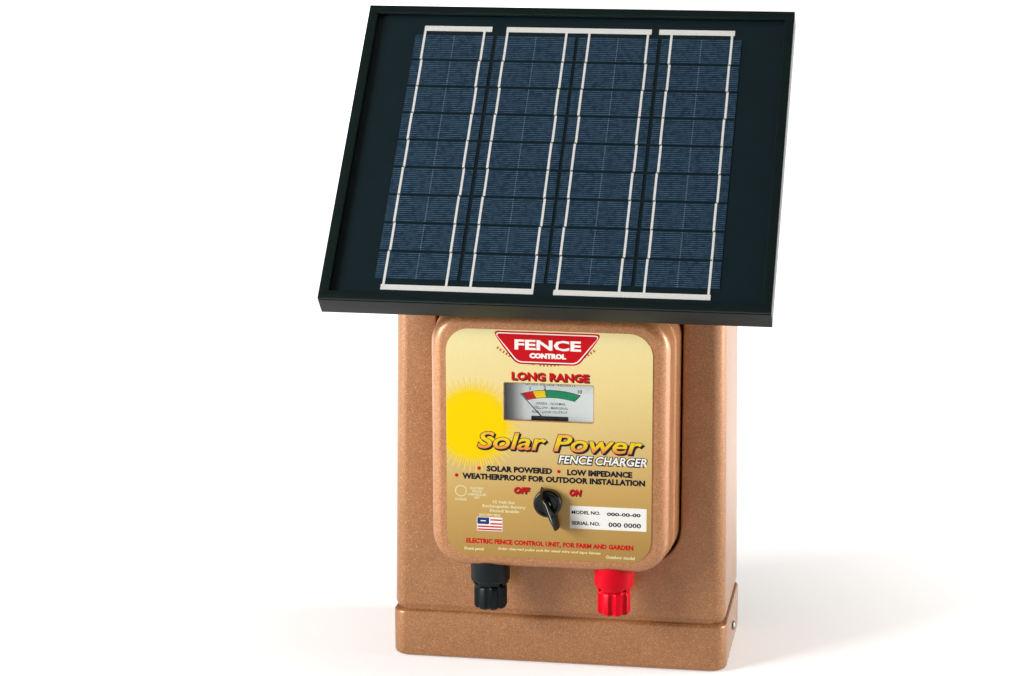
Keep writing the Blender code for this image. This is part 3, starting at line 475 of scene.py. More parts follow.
def label_film():
    """The printed film: cream at the top, gold at the bottom, with a faint metallic grain and a painted
    glow in its own colour.
    """
    material, tree, shader, coords = start("label_film", roughness=0.34, emission_strength=0.14,
                                           coat_weight=0.3, coat_roughness=0.14)
    place = add(tree, "SeparateXYZ", {"Vector": coords})
    height = span_of(tree, place.outputs["Z"], LABEL_LOW.z * MM, LABEL_HIGH.z * MM)
    across = span_of(tree, place.outputs["X"], LABEL_LOW.x * MM, LABEL_HIGH.x * MM, 0.03, -0.05)
    colour = ramp(tree, math_node(tree, "ADD", height, across),
                  (0.0, srgb(166, 128, 58)), (0.10, srgb(178, 142, 72)), (0.25, srgb(194, 158, 86)),
                  (0.45, srgb(212, 184, 118)), (0.72, srgb(232, 212, 146)), (1.0, srgb(238, 227, 168)))
    speck = noise(tree, coords, 1400.0, 2.0)
    colour = mix(tree, span_of(tree, speck, 0.35, 0.75, 0.0, 0.10), colour, srgb(150, 118, 60))
    paint(tree, shader, colour, True)
    bump(tree, shader, noise(tree, coords, 700.0), 0.03, 0.0001)
    return material


def sun_ink():
    """Yellow ink that pales away from the sun's middle, with a painted glow in its own colour. SUN_FADE
    is in metres, as shaders are.
    """
    material, tree, shader, coords = start("sun_ink", roughness=0.5, specular_ior_level=0.1,
                                           emission_strength=0.14)
    middle = (SUN[0] * MM, LABEL_FACE * MM, SUN[1] * MM)
    offset = add(tree, "VectorMath", {0: coords, 1: middle}, operation="SUBTRACT").outputs[0]
    away = add(tree, "VectorMath", {0: offset}, operation="LENGTH").outputs["Value"]
    colour = ramp(tree, span_of(tree, away, *SUN_FADE), (0.0, srgb(244, 210, 0)),
                  (0.30, srgb(242, 210, 14)), (0.65, srgb(236, 208, 66)), (1.0, srgb(232, 208, 116)))
    paint(tree, shader, colour, True)
    bump(tree, shader, noise(tree, coords, 900.0), 0.03, 0.0001)
    return material


def dial_card():
    """The dial's pale card with a painted glow, and painted shade towards its left edge and top, where
    the housing shades it.
    """
    material, tree, shader, coords = start("dial_card", roughness=0.6, emission_strength=0.50)
    place = add(tree, "SeparateXYZ", {"Vector": coords})
    side = ramp(tree, span_of(tree, place.outputs["X"], *SHADE_LEFT), (0.0, grey(0.10)),
                (0.35, grey(0.28)), (0.7, grey(0.72)), (1.0, grey(1.0)))
    top = ramp(tree, span_of(tree, place.outputs["Z"], *SHADE_TOP),
               (0.0, grey(0.45)), (1.0, grey(1.0)))
    fibre = mix(tree, noise(tree, coords, 800.0), srgb(214, 224, 224), srgb(228, 236, 236))
    colour = mix(tree, 1.0, mix(tree, 1.0, fibre, side, "MULTIPLY"), top, "MULTIPLY")
    paint(tree, shader, colour, True)
    return material


def title_ink():
    """Title ink: yellow in the middle of the letters, warm pink at their top and foot."""
    material, tree, shader, coords = start("title_ink", roughness=0.35)
    height = add(tree, "SeparateXYZ", {"Vector": coords}).outputs["Z"]
    level = span_of(tree, height, *TITLE_BAND)
    colour = ramp(tree, level, (0.05, srgb(236, 96, 84)), (0.38, srgb(248, 208, 30)),
                  (0.62, srgb(252, 216, 30)), (0.92, srgb(238, 124, 96)))
    paint(tree, shader, colour)
    bump(tree, shader, noise(tree, coords, 900.0), 0.03, 0.0001)
    return material


def clear(name, tint, roughness, strength):
    """Clear glass: it passes light straight through and mirrors some of it at a slant."""
    material = bpy.data.materials.new(name)
    material.use_nodes = True
    tree = material.node_tree
    tree.nodes.clear()
    coords = add(tree, "TexCoord").outputs["Object"]
    haze = noise(tree, coords, 60.0)
    gloss = add(tree, "BsdfGlossy", {"Roughness": span_of(tree, haze, 0.3, 0.7, roughness,
                                                                    roughness * 2)})
    through = add(tree, "BsdfTransparent", {"Color": tint})
    slant = add(tree, "Fresnel", {"IOR": 1.45}).outputs[0]
    blend = add(tree, "MixShader", {0: math_node(tree, "MULTIPLY", slant, strength),
                                              1: through.outputs[0], 2: gloss.outputs[0]})
    add(tree, "OutputMaterial", {"Surface": blend.outputs[0]})
    return material


def brushed(name, colour, roughness):
    """Bare metal with fine lines."""
    material, tree, shader, coords = start(name, metallic=1.0)
    across = add(tree, "Mapping", {"Vector": coords, "Scale": (1, 1, 30)}).outputs[0]
    lines = noise(tree, across, 400.0, 4.0)
    paint(tree, shader, mix(tree, lines, toned(colour, 0.8), colour))
    roughen(tree, shader, lines, roughness * 0.75, roughness * 1.3)
    bump(tree, shader, lines, 0.1, 0.0001)
    return material


def anodised():
    """Black anodised aluminium with faint lines along the extrusion."""
    material, tree, shader, coords = start("black_anodised", specular_ior_level=0.26)
    along = add(tree, "Mapping", {"Vector": coords, "Scale": (0.04, 1, 1)}).outputs[0]
    lines = noise(tree, along, 900.0, 3.0)
    cloud = noise(tree, coords, 30.0)
    colour = mix(tree, lines, srgb(9, 20, 20), srgb(18, 32, 32))
    paint(tree, shader, mix(tree, math_node(tree, "MULTIPLY", cloud, 0.3), colour, srgb(26, 40, 38)))
    roughen(tree, shader, lines, 0.30, 0.42)
    bump(tree, shader, lines, 0.06, 0.0001)
    return material


CELL_SIZE = (66.0, 25.1)
FINGER_PITCH = 1.93


def silicon():
    """A cell strip: blue-black crystal grains, silver fingers across and a dashed line up the middle."""
    material, tree, shader, coords = start("silicon", roughness=0.35, specular_ior_level=0.25)
    place = add(tree, "SeparateXYZ",
                {"Vector": add(tree, "UVMap").outputs["UV"]})
    grains = add(tree, "TexVoronoi", {"Vector": coords, "Scale": 170.0, "Randomness": 1.0})
    tone = add(tree, "SeparateColor", {"Color": grains.outputs["Color"]}).outputs[1]
    base = mix(tree, tone, srgb(25, 53, 75), srgb(34, 65, 91))
    sheen = noise(tree, coords, 12.0)
    base = mix(tree, span_of(tree, sheen, 0.35, 0.7, 0.0, 0.4), base, srgb(22, 52, 82))
    phase = math_node(tree, "FRACT", math_node(tree, "DIVIDE", place.outputs["Y"], FINGER_PITCH))
    off_line = math_node(tree, "ABSOLUTE", math_node(tree, "SUBTRACT", phase, 0.5))
    breaks = span_of(tree, noise(tree, coords, 240.0, 2.0), 0.38, 0.56, 0.20, 0.85)
    finger = math_node(tree, "LESS_THAN", off_line, 0.11)
    off_middle = math_node(tree, "ABSOLUTE",
                           math_node(tree, "SUBTRACT", place.outputs["X"], CELL_SIZE[0] / 2))
    dash = math_node(tree, "MULTIPLY", math_node(tree, "LESS_THAN", off_middle, 0.4),
                     math_node(tree, "LESS_THAN", off_line, 0.26))
    base = mix(tree, math_node(tree, "MULTIPLY", finger, breaks), base, srgb(112, 142, 162))
    base = mix(tree, math_node(tree, "MULTIPLY", dash, 0.65), base, srgb(150, 174, 188))
    paint(tree, shader, base)
    bump(tree, shader, finger, 0.05, 0.0001)
    return material


def ribbon_metal():
    """Tinned copper ribbon: pale, with a soft uneven shine and a painted white glow."""
    material, tree, shader, coords = start("tinned_ribbon", metallic=0.05, emission_strength=0.20,
                                           emission_color=grey(1.0))
    patches = noise(tree, coords, 380.0, 4.0)
    paint(tree, shader, mix(tree, patches, srgb(232, 232, 226), srgb(252, 252, 248)))
    roughen(tree, shader, patches, 0.25, 0.5)
    bump(tree, shader, patches, 0.05)
    return material


def inlaid(name, colour, glow):
    """Ink with a painted glow, as much as the painted glow of the card or film under it."""
    material, tree, shader, coords = start(name, roughness=0.6, specular_ior_level=0.2,
                                           emission_strength=glow, emission_color=colour)
    spread = noise(tree, coords, 500.0)
    paint(tree, shader, mix(tree, spread, toned(colour, 0.9), colour))
    return material


def make_palette():
    """Every material by name, without the number Blender adds if the CAD file has that name too."""
    made = [
        copper_paint("copper_flake", srgb(158, 107, 66), srgb(174, 124, 80)),
        copper_paint("pale_copper_flake", srgb(175, 118, 76), srgb(191, 136, 91)),
        glossy_black(),
        moulded("terminal_black", srgb(8, 20, 24), 0.36, grain=1600.0, depth=0.2, gloss=0.18),
        moulded("terminal_red", srgb(228, 0, 34), 0.34, grain=1600.0, depth=0.15, tint=0.08,
                gloss=0.17),
        label_film(),
        sun_ink(),
        title_ink(),
        moulded("ink_black", srgb(16, 20, 32), 0.45, depth=0, gloss=0.2),
        moulded("ink_red", srgb(206, 10, 26), 0.40, tint=0.08, depth=0, gloss=0.2),
        inlaid("ink_white", srgb(246, 248, 245), 0.14),
        moulded("ink_cream", srgb(236, 222, 170), 0.45, tint=0.03, depth=0, gloss=0.2),
        moulded("ink_tan", srgb(196, 118, 70), 0.45, tint=0.03, depth=0, gloss=0.2),
        moulded("ink_blue", srgb(36, 60, 122), 0.45, tint=0.05, depth=0, gloss=0.2),
        inlaid("dial_black", srgb(20, 28, 32), 0.0),
        inlaid("dial_red", srgb(220, 6, 26), 0.45),
        inlaid("dial_yellow", srgb(250, 212, 4), 0.50),
        inlaid("dial_green", srgb(2, 146, 98), 0.40),
        dial_card(),
        moulded("meter_grey", srgb(176, 186, 190), 0.45, tint=0.05),
        clear("window_plastic", grey(0.97), 0.02, 0.6),
        brushed("zinc_plate", srgb(150, 151, 148), 0.38),
        brushed("turned_brass", srgb(206, 170, 104), 0.28),
        moulded("rubber", srgb(24, 24, 26), 0.75, grain=700.0, depth=0.3, gloss=0.3),
        moulded("solder_mask", srgb(22, 96, 52), 0.42, grain=1200.0),
        moulded("battery_case", srgb(64, 66, 70), 0.5),
        moulded("red_insulation", srgb(190, 24, 24), 0.45),
        moulded("black_insulation", srgb(22, 22, 24), 0.45, gloss=0.3),
        anodised(),
        clear("panel_glass", grey(0.98), 0.015, 0.30),
        moulded("backsheet", srgb(21, 41, 47), 0.50, tint=0.12, depth=0, gloss=0.15),
        silicon(),
        ribbon_metal(),
        moulded("dull_solder", srgb(120, 126, 124), 0.5, tint=0.3, gloss=0.3),
        moulded("moulded_black", srgb(20, 22, 24), 0.45, grain=800.0, gloss=0.35),
    ]
    return {material.name.split(".")[0]: material for material in made}


INK = make_palette()


# ---------------------------------------------------------------- case

def level_ring(height, half_width, front, back, radius):
    """One level of the case's outline."""
    return [(x, y, height) for x, y in rounded((-half_width, front), (half_width, back), radius)]


def skirt_ring(height, inset):
    """One level of the skirt, drawn in by an inset."""
    depth = SKIRT_HALF_DEPTH - inset
    return level_ring(height, SKIRT_HALF_WIDTH - inset, -depth, depth, CASE_CORNER + 1)


def wall_ring(height, inset=0.0):
    """One level of the tapered walls, drawn in by an inset."""
    rise = height - WALL_FOOT
    half_width = WALL_HALF_WIDTH - rise * WALL_TAPER - inset
    front = WALL_FRONT + rise * FRONT_TAPER + inset
    return level_ring(height, half_width, front, WALL_BACK - inset, CASE_CORNER - inset * 0.9)


def roof_trim(shape, drop=0.0):
    """Cut a shape along the roof's slope, lowered by a drop."""
    geometry = list(shape.verts) + list(shape.edges) + list(shape.faces)
    cut = bmesh.ops.bisect_plane(shape, geom=geometry, plane_co=(0, 0, ROOF_RISE - drop),
                                 plane_no=(0, -1, 1), clear_outer=True)
    edges = [item for item in cut["geom_cut"] if isinstance(item, bmesh.types.BMEdge)]
    bmesh.ops.contextual_create(shape, geom=edges)
    return shape


def pocket(grow, front, back):
    """The pocket that holds the module, grown by a wall thickness."""
    radii = (POCKET_HEAD_RADIUS + grow,) * 2 + (POCKET_FOOT_RADIUS + grow,) * 2
    outline = rounded((-POCKET_HALF_WIDTH - grow, POCKET_LOW - grow),
                      (POCKET_HALF_WIDTH + grow, POCKET_HIGH + grow), radii, 16)
    return prism(outline, front, back)


def case_outside():
    """The case as a block: rolled skirt, groove, tapered walls and sloped roof."""
    rings = [skirt_ring(FOOT_RADIUS * (1 - c), FOOT_RADIUS * (1 - s)) for c, s in quarter(6)]
    rings += [skirt_ring(SKIRT_HEIGHT - NECK_INSET * (1 - s), NECK_INSET * (1 - c))
              for c, s in quarter(6)]
    for step in range(5):
        share = step / 4
        swing = (1 - math.cos(math.pi * share)) / 2
        height = SKIRT_HEIGHT + NECK_RISE + (WALL_FOOT - SKIRT_HEIGHT - NECK_RISE) * share
        neck = level_ring(height, SKIRT_HALF_WIDTH - NECK_INSET, -SKIRT_HALF_DEPTH + NECK_INSET,
                          SKIRT_HALF_DEPTH - NECK_INSET, CASE_CORNER - 2)
        wall = wall_ring(WALL_FOOT)
        rings.append([tuple(a + (b - a) * swing for a, b in zip(low[:2], high[:2])) + (height,)
                      for low, high in zip(neck, wall)])
    rings.append(wall_ring(ABOVE_ROOF))
    return roof_trim(skin(rings))


def case_inside():
    """The hollow of the case, open at the bottom."""
    skirt = SHELL + 0.2
    shoulder = SKIRT_HEIGHT - 1
    rings = [skirt_ring(-5, skirt), skirt_ring(shoulder, skirt),
             wall_ring(shoulder + 0.01, SHELL + 0.4), wall_ring(ABOVE_ROOF, SHELL)]
    return roof_trim(skin(rings), SHELL * ROOT2)


def round_edges(shape, chosen, radius, segments):
    """Round the chosen edges of a shape."""
    edges = [edge for edge in shape.edges if chosen(edge)]
    bmesh.ops.bevel(shape, geom=edges, offset=radius, segments=segments, profile=0.5, affect="EDGES",
                    clamp_overlap=True)
    return shape


def build_case():
    """The case, with its pocket's rolled lip and its softened roof edge."""
    shape = combined(case_outside(), pocket(0, POCKET_OPEN, POCKET_BACK))
    inside = POCKET_HALF_WIDTH + 0.5

    def front_at(point):
        return WALL_FRONT + (point.z - WALL_FOOT) * FRONT_TAPER

    def on_lip(edge):
        return all(abs(v.co.y - front_at(v.co)) < 0.05 and abs(v.co.x) < inside
                   and POCKET_LOW - 0.5 < v.co.z < POCKET_HIGH + 0.5 for v in edge.verts)

    def on_roof(edge):
        level = all(abs(v.co.z - v.co.y - ROOF_RISE) < 0.02 for v in edge.verts)
        return level and len(edge.link_faces) == 2 and edge.calc_face_angle(0) > 0.5

    round_edges(shape, on_lip, 1.6, 5)
    round_edges(shape, on_roof, 3.0, 4)
    hollow = combined(case_inside(), pocket(SHELL, POCKET_OPEN, POCKET_BACK + SHELL))
    shape = combined(shape, hollow)
    piece("case", shape, "copper_flake", replaces=["case_shell"])


# ---------------------------------------------------------------- module

def module_ring(level, grow, radius):
    """One level of the module's outline, grown from its size just behind the rounded edge."""
    outline = rounded((-MODULE_HALF_WIDTH - grow, MODULE_CENTRE - MODULE_HALF_HEIGHT - grow),
                      (MODULE_HALF_WIDTH + grow, MODULE_CENTRE + MODULE_HALF_HEIGHT + grow), radius, 16)
    return [(x, level, z) for x, z in outline]


def module_body(inset, front, back, steps=12):
    """The module's rounded block, drawn in by an inset on its sides."""
    rings = []
    edge = MODULE_EDGE - inset
    for c, s in quarter(steps):
        shrink = inset + edge * (1 - s)
        rings.append(module_ring(front + edge * (1 - c), -shrink, MODULE_CORNER - shrink))
    rings.append(module_ring(MODULE_STEP, MODULE_FLARE * 0.35 - inset, MODULE_CORNER + 1 - inset))
    rings.append(module_ring(MODULE_STEP + 0.7, MODULE_FLARE * 0.65 - inset, MODULE_CORNER + 2 - inset))
    rings.append(module_ring(MODULE_FLARE_END, MODULE_FLARE - inset, MODULE_CORNER + 3 - inset))
    rings.append(module_ring(back, MODULE_FLARE + 0.5 - inset, MODULE_CORNER + 3 - inset))
    return skin(rings)


def window_outline(grow):
    """The meter window's outline, grown all round."""
    return rounded((WINDOW_LOW.x - grow, WINDOW_LOW.z - grow),
                   (WINDOW_HIGH.x + grow, WINDOW_HIGH.z + grow), WINDOW_CORNER, 4)


def build_module():
    """The module's can and its printed film."""
    shape = combined(module_body(0, MODULE_FACE, MODULE_RIM),
                     module_body(SHELL, MODULE_FACE + SHELL, MODULE_RIM + 5, 4))
    shape = combined(shape, prism(window_outline(0.3), MODULE_FACE - 5, MODULE_FACE + 8))
    shape = combined(shape, bore(SHAFT_HOLE, -8, 8, (0, MODULE_FACE, SHAFT.z)))
    piece("module_shell", shape, "pale_copper_flake", replaces=["module_can"])

    outline = rounded((LABEL_LOW.x, LABEL_LOW.z), (LABEL_HIGH.x, LABEL_HIGH.z), LABEL_CORNER, 16)
    film = prism(outline, LABEL_HIGH.y, LABEL_FACE)
    film = combined(film, prism(window_outline(0.9), LABEL_FACE - 5, LABEL_HIGH.y + 5))
    film = combined(film, bore(SHAFT_HOLE, -8, 8, (0, LABEL_FACE, SHAFT.z)))
    piece("label_film", film, "label_film", replaces=["face_label"])


# ---------------------------------------------------------------- print on the label

INK_DEPTH = 0.05


def printed(name, outlines, ink, layer=1, face=LABEL_FACE):
    """Flat ink shapes on the label, in a layer above the film."""
    shape = bmesh.new()
    back = face - INK_DEPTH * (layer - 1) + 0.01
    for outline in outlines:
        prism(outline, back, back - INK_DEPTH, shape)
    piece(name, shape, ink)


def text_mesh(words, size, left, right, foot, weight, lean, fineness):
    """Generic lettering as a closed shape in the X-Z plane. It keeps its own width if right is None."""
    curve = bpy.data.curves.new("lettering", "FONT")
    curve.body = words
    curve.size = size
    curve.shear = lean
    curve.offset = weight
    curve.extrude = INK_DEPTH / 2
    curve.resolution_u = fineness
    holder = added("lettering", curve)
    bpy.context.view_layer.update()
    mesh = bpy.data.meshes.new_from_object(holder)
    bpy.data.objects.remove(holder)
    shape = bmesh.new()
    shape.from_mesh(mesh)
    bmesh.ops.remove_doubles(shape, verts=shape.verts, dist=0.0005)
    xs = [v.co.x for v in shape.verts]
    low = min(xs)
    stretch = 1.0 if right is None else (right - left) / (max(xs) - low)
    for vert in shape.verts:
        x, z, out = vert.co
        vert.co = (left + (x - low) * stretch, -out, foot + z)
    return shape


def wording(name, lines, ink, layer=1, weight=0.12, lean=0.0, fineness=2, face=LABEL_FACE):
    """Lines of generic lettering in one piece, each as (words, size, left, right, foot)."""
    shape = bmesh.new()
    for words, size, left, right, foot in lines:
        joined(shape, text_mesh(words, size, left, right, foot, weight, lean, fineness))
    moved(shape, (0, face - INK_DEPTH * (layer - 0.5) + 0.01, 0))
    piece(name, shape, ink)


RAYS = 96
RAY_STEP = 4.5
RAY_ROOT_HALF = 0.98
RAY_TIP_HALF = 0.30


def clipped(outline, axis, limit, sign=1):
    """Cut an outline off at a line: what is above the limit on the axis stays, or below it for -1."""
    kept = []
    for first, second in zip(outline, outline[1:] + outline[:1]):
        here, there = (first[axis] - limit) * sign, (second[axis] - limit) * sign
        if here >= 0:
            kept.append(first)
        if here * there < 0:
            share = here / (here - there)
            kept.append(tuple(a + (b - a) * share for a, b in zip(first, second)))
    return kept


def clear_of_window(ray):
    """Cut a ray off where it would cross the meter's window."""
    left, foot = WINDOW_LOW.x - 1.5, WINDOW_LOW.z - 1.5
    tip = max(ray)
    if tip[0] <= left or max(z for _, z in ray) <= foot:
        return ray
    level = SUN[1] + (tip[1] - SUN[1]) * (left - SUN[0]) / (tip[0] - SUN[0])
    if level > foot:
        return clipped(ray, 0, left, -1)
    return clipped(ray, 1, foot, -1)


def build_sun():
    """A plain sun disc with fine rays, cut off at the label's left edge."""
    limit = LABEL_LOW.x + 0.2
    disc = clipped(circle(SUN_RADIUS, 96, SUN), 0, limit)
    rays = []
    for index in range(RAYS):
        angle = 2 * math.pi * index / RAYS
        reach = RAY_REACH if index % 2 else RAY_REACH - RAY_STEP
        across = Vector((-math.sin(angle), math.cos(angle)))
        along = Vector((math.cos(angle), math.sin(angle)))
        middle = Vector(SUN)
        near = middle + along * (SUN_RADIUS + 0.05)
        far = middle + along * reach
        ray = [tuple(near - across * RAY_ROOT_HALF), tuple(far - across * RAY_TIP_HALF),
               tuple(far + across * RAY_TIP_HALF), tuple(near + across * RAY_ROOT_HALF)]
        ray = clear_of_window(clipped(ray, 0, limit)) if far.x > limit or near.x > limit else []
        if len(ray) > 2:
            rays.append(ray)
    printed("sun_disc", [disc], "sun_ink", 1)
    printed("sun_rays", rays, "sun_ink", 1)


def softened(corners, radius):
    """Round the corners of a convex outline."""
    steps = 5
    points = []
    count = len(corners)
    for index, corner in enumerate(corners):
        corner = Vector(corner)
        back = (Vector(corners[index - 1]) - corner).normalized() * radius
        ahead = (Vector(corners[(index + 1) % count]) - corner).normalized() * radius
        for step in range(steps + 1):
            share = step / steps
            points.append(tuple(corner + back * (1 - share) ** 2 + ahead * share ** 2))
    return points


def plaque(inset):
    """The badge's outline: wide above and narrow below, with soft corners."""
    middle, low, high = -1.3, 269.0, 295.6
    wide, narrow = 44.0 - inset, 25.0 - inset * 0.7
    corners = [(middle + wide, high - inset), (middle - wide, high - inset),
               (middle - wide + 7, high - 11 + inset * 0.3), (middle - narrow, low + inset),
               (middle + narrow, low + inset), (middle + wide - 7, high - 11 + inset * 0.3)]
    return softened(corners, 5.0 - inset * 0.4)


def build_badge():
    """A plain red plaque with a white line round it and generic words."""
    printed("badge_edge", [plaque(0)], "ink_red", 1)
    printed("badge_line", [plaque(1.3)], "ink_white", 2)
    printed("badge_field", [plaque(2.2)], "ink_red", 3)
    wording("badge_words", (("FENCE", 11.0, -27.5, 26.0, 281.2), ("CONTROL", 5.2, -15.5, 14.0, 274.4)),
            "ink_white", 4, weight=0.38)


ARC_MIDDLE = (-2.4, 333.0)
ARC_RADIUS = 65.4
ARC_START = -127.0
ARC_SWEEP = 74.0
ARC_WORDS = (8, 3, 6, 5, 4)
DASH = ((-0.75, 0), (0.75, 0), (0.75, 2.2), (-0.75, 2.2))


def print_arc():
    """An arc of dashes under the badge, in groups as long as words."""
    marks = []
    places = sum(ARC_WORDS) + len(ARC_WORDS) - 1
    at = 0
    for count in ARC_WORDS:
        for _ in range(count):
            degrees = ARC_START + ARC_SWEEP * at / (places - 1)
            angle = math.radians(degrees)
            x = ARC_MIDDLE[0] + ARC_RADIUS * math.cos(angle)
            z = ARC_MIDDLE[1] + ARC_RADIUS * math.sin(angle)
            marks.append([(x + a, z + b) for a, b in swung(DASH, -degrees - 90)])
            at += 1
        at += 1
    printed("badge_arc", marks, "ink_tan", 1)


def print_titles():
    """The large words, in layers of ink."""
    for name, shift, ink, layer in (("range_shade", 0.8, "ink_black", 1),
                                    ("range_line", 0.0, "ink_red", 2)):
        lines = (("LONG RANGE", 8.6, -30.0 + shift, 32.6 + shift, 256.2 - shift),)
        wording(name, lines, ink, layer, weight=0.42)

    for name, words, size, left, right, foot, ink, layer, weight, lean in (
            ("title_shade", "Solar Power", 19.5, -57.6, 77.8, 197.4, "ink_black", 2, 0.80, 0.22),
            ("title_line", "Solar Power", 19.5, -58.6, 76.4, 198.6, "ink_black", 3, 0.75, 0.22),
            ("title_fill", "Solar Power", 19.5, -57.9, 75.7, 198.6, "title_ink", 4, 0.34, 0.22),
            ("subtitle_line", "FENCE CHARGER", 9.2, 7.0, 80.6, 188.3, "ink_black", 2, 0.95, 0.2),
            ("subtitle_fill", "FENCE CHARGER", 9.2, 8.0, 79.4, 188.5, "ink_white", 3, 0.20, 0.2),
            ("word_off_shade", "OFF", 6.6, -27.6, -14.2, 161.5, "ink_black", 1, 0.45, 0.25),
            ("word_off", "OFF", 6.6, -28.3, -14.9, 162.2, "ink_red", 2, 0.45, 0.25),
            ("word_on_shade", "ON", 6.6, 17.5, 27.7, 161.5, "ink_black", 1, 0.45, 0.25),
            ("word_on", "ON", 6.6, 16.8, 27.0, 162.2, "ink_red", 2, 0.45, 0.25)):
        wording(name, ((words, size, left, right, foot),), ink, layer, weight, lean, 6)


def print_features():
    """The lines under the title, with their bullets."""
    lines = (("SOLAR POWERED", 6.2, -50.5, 3.0, 179.3), ("LOW IMPEDANCE", 6.2, 15.0, 67.6, 179.0),
             ("WEATHERPROOF FOR OUTDOOR INSTALLATION", 6.2, -70.5, 78.0, 172.4))
    wording("feature_lines", lines, "ink_black", 2, weight=0.36)
    dots = [circle(1.5, 20, at) for at in ((-56.6, 181.4), (8.4, 181.4), (-75.0, 174.8))]
    printed("bullets", dots, "ink_red", 2)


RING = (-71.7, 161.8)


def print_small():
    """The rows of small print, and a blank ring beside them."""
    printed("plain_ring", [circle(4.9, 48, RING)], "ink_cream", 1)
    printed("plain_ring_inside", [circle(3.9, 48, RING)], "label_film", 2)
    lines = (("ELECTRIC", 2.3, -64.0, -53.0, 163.6), ("FENCE", 2.3, -62.4, -54.6, 161.0),
             ("CONTROLLER", 2.3, -66.0, -50.6, 158.4), ("UNIT", 2.3, -61.0, -56.0, 155.8),
             ("OUTDOOR", 2.8, -76.6, -66.8, 153.6), ("12 Volt Set", 3.2, -45.6, -27.4, 152.6),
             ("Rechargeable Battery", 3.2, -54.0, -18.4, 149.0),
             ("Fitted Inside", 3.2, -48.0, -23.6, 145.2),
             ("BATTERY SIDE", 2.4, -56.6, -39.4, 141.6), ("Front panel", 3.2, -69.0, -53.0, 112.4))
    wording("small_print_pale", lines, "ink_cream", 2, 0.20)
    lines = (("Outdoor model", 3.6, 46.8, 70.2, 110.4),)
    wording("small_print_upright", lines, "ink_cream", 2, 0.16)
    lines = (("Solar charged pulse unit for steel wire and tape fences", 2.9, -41.5, 42.6, 113.6),)
    wording("small_print_leaning", lines, "ink_cream", 2, lean=0.25)
    lines = (("ELECTRIC FENCE CONTROL UNIT, FOR FARM AND GARDEN", 5.2, -67.5, 69.0, 118.4),)
    wording("purpose_line", lines, "ink_red", 2, weight=0.28)


def print_stickers():
    """The number sticker and the small sign for the battery's side."""
    for name, low, high, radius, steps, ink, layer in (
            ("sticker", (17.4, 134.4), (79.4, 153.4), 0.6, 3, "ink_white", 2),
            ("battery_sign", (-58.6, 129.0), (-37.7, 140.6), 0.5, 3, "ink_white", 2),
            ("battery_sign_left", (-58.2, 134.6), (-48.6, 140.2), 0.4, 3, "ink_blue", 3),
            ("battery_sign_mark", (-55.6, 137.0), (-51.2, 137.8), 0.2, 2, "ink_white", 4)):
        printed(name, [rounded(low, high, radius, steps)], ink, layer)
    rows = [rounded((left, low), (-38.1, low + 1.2), 0.2, 2)
            for left, low in ((-58.2, 129.6), (-58.2, 132.0), (-47.6, 134.6), (-47.6, 137.8))]
    printed("battery_sign_rows", rows, "ink_red", 3)
    lines = (("MODEL NO.", 3.9, 18.8, 42.0, 146.8), ("000-00-00", 3.9, 47.4, 74.6, 146.4),
             ("SERIAL NO.", 3.9, 18.8, 42.0, 137.8), ("000 0000", 5.2, 48.6, 75.0, 137.2))
    wording("sticker_lines", lines, "ink_black", 3, 0.14)


# ---------------------------------------------------------------- meter

PIVOT = Vector((0.0, -103.6, 216.0))
NEEDLE_REST = -43.0
NEEDLE_HALF = 0.25
SCALE_MIDDLE = 164.2
SCALE_INNER = 74.9
SCALE_OUTER = 80.6


def scale_point(degrees, radius):
    """Where the ray from the needle's pivot at an angle meets the scale's flat arc."""
    lean = math.radians(degrees)
    away = PIVOT.z - SCALE_MIDDLE
    half = away * math.cos(lean)
    reach = -half + math.sqrt(half * half - away * away + radius * radius)
    return (reach * math.sin(lean), PIVOT.z + reach * math.cos(lean))


def scale_band(start_angle, end_angle, inner, outer, steps):
    """A band of the scale between two needle angles."""
    angles = [start_angle + (end_angle - start_angle) * step / steps for step in range(steps + 1)]
    return ([scale_point(angle, inner) for angle in angles]
            + [scale_point(angle, outer) for angle in reversed(angles)])


def build_housing():
    """The meter's tub and its dial card."""
    low, high = span("meter_housing")
    tub = prism(rounded((low.x, low.z), (high.x, high.z), 3, 6), low.y, high.y)
    tub = combined(tub, prism(rounded((low.x + 2, low.z + 2), (high.x - 2, high.z - 2), 2, 6),
                              low.y - 5, high.y - 2))
    piece("meter_tub", tub, "meter_grey", replaces=["meter_housing"])

    card = prism(rounded((DIAL_LOW.x, DIAL_LOW.z), (DIAL_HIGH.x, DIAL_HIGH.z), 1.8, 6),
                 DIAL_LOW.y, DIAL_HIGH.y)
    card = combined(card, bore(1.9, -8, 8, (PIVOT.x, DIAL_LOW.y, PIVOT.z), 24))
    piece("dial_card", card, "dial_card", replaces=["meter_dial"])


